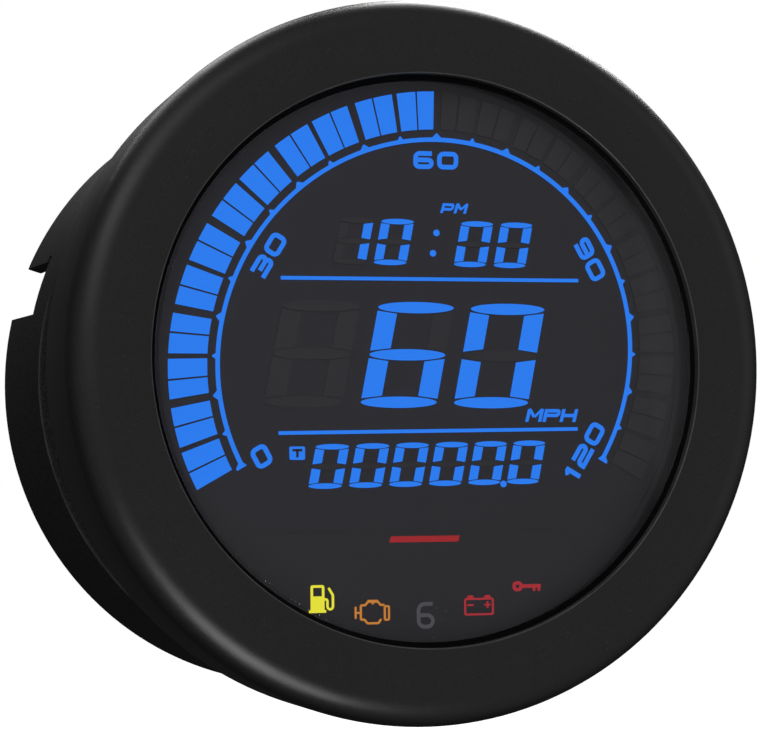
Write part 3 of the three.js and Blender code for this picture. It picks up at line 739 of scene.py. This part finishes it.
def build_connector():
    level = SOCKET_CENTRE[1]
    base = brick(24, 12, 49.2, 66, SOCKET_CENTRE, 0.7)
    flange = brick(29, 16, 48.7, 50.7, SOCKET_CENTRE, 0.3)
    key = brick(5, 2, 54.6, 66, (0, level + 6.8), 0.3)
    mouth = brick(20, 8, 54.6, 67, SOCKET_CENTRE, 0.5)
    slots = bmesh.new()
    for x in CONTACT_PLACES:
        brick(1.8, 2.6, 48, 55.5, (x, level), 0.0, 0.0, slots)
    steps = [("UNION", flange), ("UNION", key), ("DIFFERENCE", mouth), ("DIFFERENCE", slots)]
    stood("connector_keyed", combined(base, steps), CASE, ["connector_shell"])
    for number, x in enumerate(CONTACT_PLACES, 1):
        bm = brick(1.0, 1.0, 40.9, 60, (x, level))
        tip = [face for face in bm.faces if face.normal.y > 0.9]
        bmesh.ops.inset_region(bm, faces=tip, thickness=0.25 * MM, depth=0.0)
        finished(f"blade_{number}", bm, TIN, [f"contact_{number}"])


def build_button():
    bm = turned([
        (0, 49.1), (6, 49.1), (6, 50.7), (4.2, 50.7), (4.2, 56), (3.5, 56),
        (3.5, 57.6), (4.2, 57.6), (4.2, 61.7), (0, 62.0),
    ], [(0.25, 2, (1, 2)), (0.9, 6, (8,))], MEDIUM, BUTTON_CENTRE)
    finished("button_domed", bm, RUBBER, ["mode_button"], "button")
    bm = turned([(3.7, 56.2), (4.3, 56.2), (4.3, 57.4), (3.7, 57.4)],
                [(0.25, 3, (1, 2))], MEDIUM, BUTTON_CENTRE)
    finished("button_lip_seal", bm, RUBBER, ["button_seal"], "button")


def build_vent():
    base = turned([
        (0, 50), (1.7, 50), (1.7, 53.9), (4.2, 53.9), (4.2, 54.9), (3.2, 55.8), (0, 55.8),
    ], [(0.35, 3, (4, 5))], MEDIUM, VENT_CENTRE)
    slits = bmesh.new()
    for offset in (0.0, -1.2, 1.2):
        brick(0.5, 4.4, 55.4, 57, (VENT_CENTRE[0] + offset, VENT_CENTRE[1]), 0.0, 0.0, slits)
    stood("vent_cap", combined(base, [("DIFFERENCE", slits)]), RUBBER,
          ["vent_plug"])


# The display. Dial places are millimetres right of and above the gauge axis.
# The round scale sits a little off that axis, and leans and turns a little.

DIAL_CENTRE = (0.84, 0.85)
DIAL_LEAN = math.radians(3.35)
DIAL_TURN = 0.84
SEGMENT_DEPTH = 1.12
SEGMENT_THICK = 0.1
PRINT_DEPTH = 0.95
PRINT_THICK = 0.08
ARC_RADIUS = 32.6
ARC_WIDTH = 0.66
TICK_TIP = 33.55
BAR_INNER = 34.15
BAR_OUTER = 39.95
BARS = 48
LIT_BARS = 24
SCALE_END = 120
WINDOW_RADIUS = 41.0
WINDOW_FOOT = -25.5
SLANT = math.radians(11.5)
VIEW_TURN = (0, -1, 0)


def dial_point(x, z):
    return Vector((x * MM, 0, z * MM))


def stand_up(bm):
    """Turns a drawing made flat on the ground to face the rider."""
    bmesh.ops.rotate(bm, verts=bm.verts, cent=(0, 0, 0),
                     matrix=Matrix.Rotation(math.radians(90), 3, "X"))


def patch(bm, points):
    return bm.faces.new([bm.verts.new(dial_point(x, z)) for x, z in points])


def pen(bm, width, start, heading, moves):
    """Draws a flat stroke: ("run", length) goes straight, ("bend", degrees, radius) turns."""
    place = Vector((start[0], start[1]))
    angle = math.radians(heading)
    side = Vector((-math.sin(angle), math.cos(angle))) * width / 2
    ends = [bm.verts.new(dial_point(*(place + side))), bm.verts.new(dial_point(*(place - side)))]
    nib = bm.edges.new(ends)
    for move in moves:
        if move[0] == "run":
            step = Vector((math.cos(angle), math.sin(angle))) * move[1]
            grown = bmesh.ops.extrude_edge_only(bm, edges=[nib])["geom"]
            fresh = [part for part in grown if isinstance(part, bmesh.types.BMVert)]
            bmesh.ops.translate(bm, verts=fresh, vec=dial_point(*step))
            nib = [part for part in grown if isinstance(part, bmesh.types.BMEdge)
                   and all(vert in fresh for vert in part.verts)][0]
            place += step
        else:
            turn = math.radians(move[1])
            hand = 1 if turn > 0 else -1
            centre = place + Vector((-math.sin(angle), math.cos(angle))) * move[2] * hand
            swept = bmesh.ops.spin(bm, geom=list(nib.verts) + [nib],
                                   cent=dial_point(*centre), axis=VIEW_TURN, dvec=(0, 0, 0),
                                   angle=turn, steps=6, use_merge=False, use_duplicate=False)
            nib = [part for part in swept["geom_last"]
                   if isinstance(part, bmesh.types.BMEdge)][0]
            offset = place - centre
            cosine = math.cos(turn)
            sine = math.sin(turn)
            place = centre + Vector((offset.x * cosine - offset.y * sine,
                                     offset.x * sine + offset.y * cosine))
            angle += turn
    return bm


def placed(target, part, centre=(0, 0), turn=0.0, slant=0.0):
    """Leans, turns and moves a small drawing, and adds it to the target drawing."""
    if slant:
        lean = Matrix.Identity(4)
        lean[0][2] = math.tan(slant)
        bmesh.ops.transform(part, verts=part.verts, matrix=lean)
    if turn:
        bmesh.ops.rotate(part, verts=part.verts, cent=(0, 0, 0),
                         matrix=Matrix.Rotation(-math.radians(turn), 3, "Y"))
    bmesh.ops.translate(part, verts=part.verts, vec=dial_point(*centre))
    return merged(target, part)


def laid(name, bm, material, depth, thick):
    """Turns the flat drawing into a thin film at the given depth."""
    bmesh.ops.remove_doubles(bm, verts=bm.verts, dist=1e-6)
    grown = bmesh.ops.extrude_face_region(bm, geom=bm.faces[:])["geom"]
    back = [part for part in grown if isinstance(part, bmesh.types.BMVert)]
    bmesh.ops.translate(bm, verts=back, vec=(0, thick * MM, 0))
    bmesh.ops.translate(bm, verts=bm.verts, vec=(0, at(depth), 0))
    return finished(name, bm, material)


def segments(name, bm, material):
    laid(name, bm, material, SEGMENT_DEPTH, SEGMENT_THICK)


def sign(name, bm, material, centre, slant=0.0):
    drawn = placed(bmesh.new(), bm, centre, slant=slant)
    laid(name, drawn, material, PRINT_DEPTH, PRINT_THICK)


def speed_angle(mph):
    return 210.0 - 2.0 * mph


def on_dial(bm):
    return placed(bmesh.new(), bm, DIAL_CENTRE, DIAL_TURN, DIAL_LEAN)


def sector(bm, inner, outer, start, end, steps):
    near = on_circle(inner, start)
    far = on_circle(outer, start)
    ends = [bm.verts.new(dial_point(*near)), bm.verts.new(dial_point(*far))]
    edge = bm.edges.new(ends)
    bmesh.ops.spin(bm, geom=ends + [edge], cent=(0, 0, 0), axis=VIEW_TURN, dvec=(0, 0, 0),
                   angle=math.radians(end - start), steps=steps, use_merge=False,
                   use_duplicate=False)


def half_gap(boundary):
    """Half the gap beside a bar, in degrees. It is wider after each pair, and each four."""
    gap = 0.27
    if boundary % 2 == 0:
        gap = 0.74
    if boundary % 4 == 0:
        gap = 1.22
    middle = (BAR_INNER + BAR_OUTER) / 2
    return math.degrees(gap / 2 / middle)


def build_speed_bars():
    each = SCALE_END / BARS
    for name, first, last, material in (("speed_bars_lit", 0, LIT_BARS, LIT_BLUE),
                                        ("speed_bars_at_rest", LIT_BARS, BARS, GHOST)):
        bm = bmesh.new()
        for bar in range(first, last):
            start = speed_angle(each * bar) - half_gap(bar)
            end = speed_angle(each * (bar + 1)) + half_gap(bar + 1)
            sector(bm, BAR_INNER, BAR_OUTER, start, end, 4)
        segments(name, on_dial(bm), material)


def build_speed_arc():
    bm = bmesh.new()
    inner = ARC_RADIUS - ARC_WIDTH / 2
    outer = ARC_RADIUS + ARC_WIDTH / 2
    root = outer - 0.06
    sector(bm, inner, outer, speed_angle(0), speed_angle(SCALE_END), 2 * BARS)
    for step in range(1, BARS // 2):
        half = 0.72 if step % 2 == 0 else 0.45
        tip = TICK_TIP if step % 2 == 0 else TICK_TIP - 0.12
        tick = bmesh.new()
        patch(tick, [(root, -half), (tip, -0.1), (tip, 0.1), (root, half)])
        placed(bm, tick, turn=speed_angle(5 * step))
    for mph, hand in ((0, -1), (SCALE_END, 1)):
        foot = bmesh.new()
        patch(foot, [(inner - 0.35, 0), (inner, 0.7 * hand), (root, 0.9 * hand),
                     (TICK_TIP, 0.35 * hand), (TICK_TIP, 0)])
        placed(bm, foot, turn=speed_angle(mph))
    segments("speed_arc", on_dial(bm), LIT_BLUE)


# Wide rounded figures along the arc, width and height outside, drawn with one nib.
FIGURE = (3.35, 2.7)
FIGURE_NIB = 0.7
NUMBER_RADIUS = 29.45


def draw_figure(bm, character, nib=FIGURE_NIB, size=FIGURE, corner=0.62):
    across = size[0] - nib
    up = size[1] - nib
    right = across / 2
    top = up / 2
    run_x = across - 2 * corner
    run_z = up - 2 * corner
    half_z = top - 2 * corner if top > 2 * corner else 0.02
    tight = min(corner, top / 2)
    if character == "0":
        pen(bm, nib, (0, -top), 0, [
            ("run", run_x / 2), ("bend", 90, corner), ("run", run_z), ("bend", 90, corner),
            ("run", run_x), ("bend", 90, corner), ("run", run_z), ("bend", 90, corner),
            ("run", run_x / 2)])
    if character in "69":
        loop = bmesh.new()
        pen(loop, nib, (right - 0.1, top), 180, [
            ("run", run_x + corner - 0.1), ("bend", 90, corner), ("run", run_z),
            ("bend", 90, corner), ("run", run_x), ("bend", 90, tight), ("run", half_z),
            ("bend", 90, tight), ("run", across - tight)])
        placed(bm, loop, turn=180 if character == "9" else 0.0)
    if character == "3":
        pen(bm, nib, (-right, top), 0, [
            ("run", across - tight), ("bend", -90, tight), ("run", half_z),
            ("bend", -90, tight), ("run", across * 0.55)])
        pen(bm, nib, (-right, -top), 0, [
            ("run", across - tight), ("bend", 90, tight), ("run", half_z),
            ("bend", 90, tight), ("run", 0.1)])
    if character == "2":
        pen(bm, nib, (-right, top), 0, [
            ("run", across - tight), ("bend", -90, tight), ("run", half_z),
            ("bend", -90, tight), ("run", across - 2 * tight), ("bend", 90, tight),
            ("run", half_z), ("run", tight)])
        pen(bm, nib, (-right - nib / 2, -top), 0, [("run", size[0])])
    if character == "1":
        pen(bm, nib, (0, -top - nib / 2), 90, [("run", size[1])])
        pen(bm, nib * 0.8, (-0.8, top - 0.35), 35, [("run", 0.9)])


def build_arc_numbers():
    bm = bmesh.new()
    gap = 0.45
    for mph in range(0, SCALE_END + 1, 30):
        angle = speed_angle(mph)
        text = str(mph)
        turn = angle + 90 if mph in (0, SCALE_END) else angle - 90
        widths = [1.6 if character == "1" else FIGURE[0] for character in text]
        cursor = -(sum(widths) + gap * (len(text) - 1)) / 2
        number = bmesh.new()
        for character, width in zip(text, widths):
            figure = bmesh.new()
            draw_figure(figure, character)
            placed(number, figure, (cursor + width / 2, 0))
            cursor += width + gap
        placed(bm, number, on_circle(NUMBER_RADIUS, angle), turn)
    segments("speed_numbers", on_dial(bm), LIT_BLUE)


SEGMENTS_OF = {"0": "abcdef", "1": "bc", "6": "acdefg"}
SMALL_BAR = 0.82
SMALL_POST = 1.38


def draw_digit(lit_bm, rest_bm, character, centre, size, bar, post):
    """One leaning seven-segment digit: lens-shaped bars across, four-sided posts upright."""
    width, height = size
    level = {"a": height / 2 - bar / 2, "g": 0.0, "d": bar / 2 - height / 2}
    hair = 0.08 if bar < 1.2 else 0.12
    for segment in "abcdefg":
        target = lit_bm if segment in SEGMENTS_OF[character] else rest_bm
        shape = bmesh.new()
        if segment in level:
            bmesh.ops.create_circle(shape, cap_ends=True, segments=36, radius=width / 2 * MM)
            bmesh.ops.scale(shape, verts=shape.verts, vec=(1, bar / width, 1))
            stand_up(shape)
            bmesh.ops.translate(shape, verts=shape.verts, vec=dial_point(0, level[segment]))
        else:
            above, below = (level["a"], 0.0) if segment in "bf" else (0.0, level["d"])
            outer = bar * 0.26 + hair
            inner = bar * 0.5 + hair
            edge = width / 2
            points = [(edge, below + outer), (edge, above - outer),
                      (edge - post, above - inner), (edge - post, below + inner)]
            if segment in "ef":
                points = [(-x, z) for x, z in points]
            patch(shape, points)
        placed(target, shape, centre, slant=SLANT)


def build_speed_digits():
    lit_bm = bmesh.new()
    rest_bm = bmesh.new()
    for target, character, x in ((rest_bm, "0", -17.5), (lit_bm, "6", -2.7),
                                 (lit_bm, "0", 11.95)):
        draw_digit(target, rest_bm, character, (x, 0.85), (11.9, 15.9), 1.7, 3.1)
    segments("speed_digits_lit", lit_bm, LIT_BLUE)
    segments("speed_digits_at_rest", rest_bm, GHOST)


def dot(bm, centre, radius):
    spot = bmesh.new()
    bmesh.ops.create_circle(spot, cap_ends=True, segments=24, radius=radius * MM)
    stand_up(spot)
    placed(bm, spot, centre)


def build_clock():
    lit_bm = bmesh.new()
    rest_bm = bmesh.new()
    for character, x in (("1", -11.0), ("0", -4.65), ("0", 8.0), ("0", 14.4)):
        draw_digit(lit_bm, rest_bm, character, (x, 17.75), (5.1, 7.0), SMALL_BAR, SMALL_POST)
    dot(lit_bm, (2.1, 19.3), 0.5)
    dot(lit_bm, (1.5, 16.2), 0.5)
    segments("clock_digits_lit", lit_bm, LIT_BLUE)
    segments("clock_digits_at_rest", rest_bm, GHOST)


def build_odometer():
    lit_bm = bmesh.new()
    rest_bm = bmesh.new()
    for place in range(6):
        centre = (-15.1 + 6.22 * place, -15.75 + 0.1 * place)
        draw_digit(lit_bm, rest_bm, "0", centre, (5.1, 6.6), SMALL_BAR, SMALL_POST)
    dot(lit_bm, (12.3, -18.5), 0.5)
    segments("odometer_digits_lit", lit_bm, LIT_BLUE)
    segments("odometer_digits_at_rest", rest_bm, GHOST)


def draw_letter(bm, letter, nib, size):
    width, height = size
    right = (width - nib) / 2
    top = (height - nib) / 2
    foot = -height / 2
    if letter == "P":
        pen(bm, nib, (-right, foot), 90, [("run", height)])
        pen(bm, nib, (-right, top), 0, [
            ("run", 2 * right - 0.3), ("bend", -90, 0.3), ("run", 0.1), ("bend", -90, 0.3),
            ("run", 2 * right - 0.3)])
    if letter == "M":
        pen(bm, nib, (-right, foot), 90, [("run", height)])
        pen(bm, nib, (right, foot), 90, [("run", height)])
        pen(bm, nib * 0.8, (-right, top + nib / 2), -50, [("run", height * 0.8)])
        pen(bm, nib * 0.8, (right, top + nib / 2), 230, [("run", height * 0.8)])
    if letter == "H":
        pen(bm, nib, (-right, foot), 90, [("run", height)])
        pen(bm, nib, (right, foot), 90, [("run", height)])
        pen(bm, nib, (-right, 0), 0, [("run", 2 * right)])
    if letter == "T":
        pen(bm, nib, (0, foot), 90, [("run", height)])
        pen(bm, nib, (-width / 2, top), 0, [("run", width)])


def draw_word(bm, text, centre, nib, size, gap, slant):
    cursor = -((size[0] + gap) * len(text) - gap) / 2
    word = bmesh.new()
    for letter in text:
        drawn = bmesh.new()
        draw_letter(drawn, letter, nib, size)
        placed(word, drawn, (cursor + size[0] / 2, 0))
        cursor += size[0] + gap
    placed(bm, word, centre, slant=slant)


def build_words_and_lines():
    bm = bmesh.new()
    draw_word(bm, "PM", (5.0, 23.1), 0.42, (1.95, 1.5), 0.2, math.radians(18))
    draw_word(bm, "MPH", (20.3, -8.15), 0.52, (2.6, 1.95), 0.2, math.radians(15))
    pen(bm, 0.54, (-22.2, 12.0), 0.7, [("run", 47.2)])
    pen(bm, 0.54, (-22.7, -10.85), 0.8, [("run", 47.2)])
    segments("units_and_lines", bm, LIT_BLUE)
    trip_centre = (-19.9, -13.8)
    tile = bmesh.new()
    bmesh.ops.create_grid(tile, x_segments=1, y_segments=1, size=1.0 * MM)
    bmesh.ops.scale(tile, verts=tile.verts, vec=(1.18, 0.98, 1))
    bmesh.ops.bevel(tile, geom=tile.verts[:], offset=0.25 * MM, offset_type="OFFSET",
                    segments=4, profile=0.5, affect="VERTICES", material=-1)
    stand_up(tile)
    segments("trip_box", placed(bmesh.new(), tile, trip_centre), LIT_BLUE)
    letter = bmesh.new()
    draw_word(letter, "T", trip_centre, 0.38, (1.5, 1.25), 0.0, 0.0)
    laid("trip_letter", letter, DISPLAY, SEGMENT_DEPTH - 0.05, 0.04)


def build_mask():
    """Printed film in front of the display, with the display window cut in it."""
    bm = bmesh.new()
    bmesh.ops.create_circle(bm, cap_ends=False, segments=FINE, radius=46.3 * MM)
    window = bmesh.new()
    bmesh.ops.create_circle(window, cap_ends=True, segments=FINE, radius=WINDOW_RADIUS * MM)
    bmesh.ops.bisect_plane(window, geom=window.verts[:] + window.edges[:] + window.faces[:],
                           plane_co=(0, WINDOW_FOOT * MM, 0), plane_no=(0, -1, 0),
                           clear_outer=True)
    bmesh.ops.delete(window, geom=window.faces[:], context="FACES_ONLY")
    merged(bm, window)
    bmesh.ops.triangle_fill(bm, edges=bm.edges[:], use_beauty=True)
    stand_up(bm)
    piece = laid("mask_film", bm, DISPLAY, 1.05, 0.15)
    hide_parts("face_mask")


# Telltale signs on the mask film.


def build_fuel_sign():
    bm = bmesh.new()
    patch(bm, [(-1.75, -2.05), (0.85, -2.05), (0.85, -1.65), (-1.75, -1.65)])
    patch(bm, [(-1.5, -1.7), (0.6, -1.7), (0.6, 0.35), (-1.5, 0.35)])
    pen(bm, 0.38, (-1.31, 0.3), 90, [("run", 1.35), ("bend", -90, 0.15), ("run", 1.42),
                                     ("bend", -90, 0.15), ("run", 1.35)])
    pen(bm, 0.36, (0.5, -0.1), 0, [
        ("run", 0.25), ("bend", -90, 0.3), ("run", 0.75), ("bend", 180, 0.42),
        ("run", 1.5), ("bend", 32, 0.5), ("run", 1.1)])
    sign("telltale_fuel", bm, LAMP_YELLOW, (-16.6, -35.1))


def build_engine_sign():
    bm = bmesh.new()
    pen(bm, 0.32, (-1.75, -1.0), 90, [
        ("run", 1.9), ("bend", -90, 0.2), ("run", 0.4), ("bend", 50, 0.2), ("run", 0.45),
        ("bend", -50, 0.2), ("run", 1.35), ("bend", -50, 0.2), ("run", 0.45),
        ("bend", 50, 0.2), ("run", 0.5)])
    pen(bm, 0.32, (-1.75, -1.0), 0, [
        ("run", 0.45), ("bend", -50, 0.2), ("run", 0.55), ("bend", 50, 0.2), ("run", 1.5),
        ("bend", 60, 0.2), ("run", 0.35), ("bend", -60, 0.15), ("run", 0.1)])
    pen(bm, 0.32, (1.95, -1.1), 90, [("run", 2.0)])
    pen(bm, 0.3, (1.95, -1.1), 0, [("run", 0.45), ("bend", 90, 0.2), ("run", 1.6),
                                   ("bend", 90, 0.2), ("run", 0.45)])
    pen(bm, 0.3, (-2.55, -0.85), 90, [("run", 1.75)])
    pen(bm, 0.3, (-2.55, 0), 0, [("run", 0.8)])
    pen(bm, 0.3, (-0.7, 1.72), 0, [("run", 1.6)])
    pen(bm, 0.3, (0.1, 1.2), 90, [("run", 0.5)])
    sign("telltale_engine", bm, LAMP_ORANGE, (-8.7, -37.3))


def build_gear_sign():
    bm = bmesh.new()
    draw_figure(bm, "6", 0.58, (2.9, 3.95), 0.95)
    # Painted glow: the off gear sign emits a dim grey.
    sign("telltale_gear", bm, LAMP_OFF_GLOW, (-0.35, -37.9))


def build_battery_sign():
    bm = bmesh.new()
    pen(bm, 0.3, (0, -1.25), 0, [
        ("run", 2.0), ("bend", 90, 0.2), ("run", 1.9), ("bend", 90, 0.2), ("run", 4.0),
        ("bend", 90, 0.2), ("run", 1.9), ("bend", 90, 0.2), ("run", 2.0)])
    for x in (-1.35, 1.35):
        patch(bm, [(x - 0.55, 1.1), (x + 0.55, 1.1), (x + 0.4, 1.6), (x - 0.4, 1.6)])
        pen(bm, 0.26, (x - 0.5, 0.15), 0, [("run", 1.0)])
    pen(bm, 0.26, (1.35, -0.35), 90, [("run", 1.0)])
    sign("telltale_battery", bm, LAMP_RED, (8.05, -36.7))


def build_key_sign():
    bm = bmesh.new()
    pen(bm, 0.5, (-1.7, -0.5), 0, [
        ("run", 0.3), ("bend", 90, 0.4), ("run", 0.2), ("bend", 90, 0.4), ("run", 0.3),
        ("bend", 90, 0.4), ("run", 0.2), ("bend", 90, 0.4)])
    pen(bm, 0.55, (-0.9, 0.0), 0, [("run", 3.1)])
    patch(bm, [(0.9, -0.2), (0.9, -0.75), (1.3, -0.75), (1.3, -0.2)])
    patch(bm, [(1.7, -0.2), (1.7, -0.75), (2.1, -0.75), (2.1, -0.2)])
    sign("telltale_key", bm, LAMP_RED, (15.8, -33.9))


def build_stripe():
    bm = bmesh.new()
    pen(bm, 0.9, (-5.4, 0), 0, [("run", 10.8)])
    sign("accent_stripe", bm, STRIPE_RED, (-0.4, -26.6), math.radians(20))


dress_cad_nodes()
build_bezel()
build_lens()
build_seal()
build_housing()
build_rear_cover()
for number, degrees in enumerate(SCREW_ANGLES, 1):
    build_case_screw(number, degrees)
for side, x in STUD_PLACES:
    build_stud(side, x)
    build_washers(side, x)
    build_lock_nut(side, x)
build_connector()
build_button()
build_vent()
build_mask()
build_speed_bars()
build_speed_arc()
build_arc_numbers()
build_speed_digits()
build_clock()
build_odometer()
build_words_and_lines()
build_fuel_sign()
build_engine_sign()
build_gear_sign()
build_battery_sign()
build_key_sign()
build_stripe()


# Floor, light and camera.


FLOOR_HEIGHT = -0.3
ROOM_FRONT = grey(0.42)
ROOM_BACK = grey(0.025)
PAPER_WHITE = grey(1.0)


def build_floor():
    bm = bmesh.new()
    bmesh.ops.create_grid(bm, x_segments=1, y_segments=1, size=4.0)
    bmesh.ops.translate(bm, verts=bm.verts, vec=(0, 0, FLOOR_HEIGHT))
    mesh = bpy.data.meshes.new("floor")
    bm.to_mesh(mesh)
    bm.free()
    material, tree, shader = new_material("pale_floor")
    shader.inputs["Base Color"].default_value = grey(0.85)
    shader.inputs["Roughness"].default_value = 0.9
    shader.inputs["Emission Color"].default_value = PAPER_WHITE
    shader.inputs["Emission Strength"].default_value = 0.9
    mesh.materials.append(material)
    floor = new_object("floor", mesh)
    floor.visible_diffuse = False
    floor.visible_glossy = False


def soft_light(name, place, target, width, height, power):
    lamp = bpy.data.lights.new(name, "AREA")
    lamp.shape = "RECTANGLE"
    lamp.size = width
    lamp.size_y = height
    lamp.energy = power
    light = new_object(name, lamp)
    light.location = place
    aim = Vector(target) - Vector(place)
    light.rotation_euler = aim.to_track_quat("-Z", "Y").to_euler()


def build_world():
    """White where the camera looks, and for the light a room that is dark behind the gauge."""
    world = bpy.data.worlds.new("studio")
    bpy.context.scene.world = world
    world.use_nodes = True
    tree = world.node_tree
    background = tree.nodes["Background"]
    place = tree.nodes.new("ShaderNodeTexCoord").outputs["Generated"]
    apart = tree.nodes.new("ShaderNodeSeparateXYZ")
    link(tree, place, apart.inputs["Vector"])
    behind = ranged(tree, apart.outputs["Y"], -0.35, 0.35)
    room = mixed(tree, behind, ROOM_FRONT, ROOM_BACK)
    seen = tree.nodes.new("ShaderNodeLightPath").outputs["Is Camera Ray"]
    link(tree, mixed(tree, seen, room, PAPER_WHITE), background.inputs["Color"])


def build_camera():
    data = bpy.data.cameras.new("camera")
    data.lens = 104.2
    data.sensor_width = 36.0
    data.clip_start = 0.01
    camera = new_object("camera", data)
    camera.location = (-0.1053, -0.3645, -0.0223)
    camera.rotation_euler = tuple(math.radians(angle) for angle in (93.77, 0.6, -17.48))
    bpy.context.scene.camera = camera


build_floor()
build_world()
soft_light("key_light", (-0.55, -0.75, 0.55), (0, 0, 0), 0.7, 0.5, 3.1)
soft_light("fill_light", (0.8, -0.6, 0.2), (0, 0, 0), 0.6, 0.8, 0.5)
soft_light("low_light", (-0.15, -0.4, -0.42), (0, 0, -0.05), 0.3, 0.3, 3.2)
soft_light("back_left_light", (-0.4, 1.1, 1.3), (0, 0, 0), 0.8, 0.8, 10.0)
soft_light("back_right_light", (0.8, 1.0, 1.3), (0, 0, 0), 0.8, 0.8, 40.0)
build_camera()
bpy.context.scene.view_settings.view_transform = "Standard"
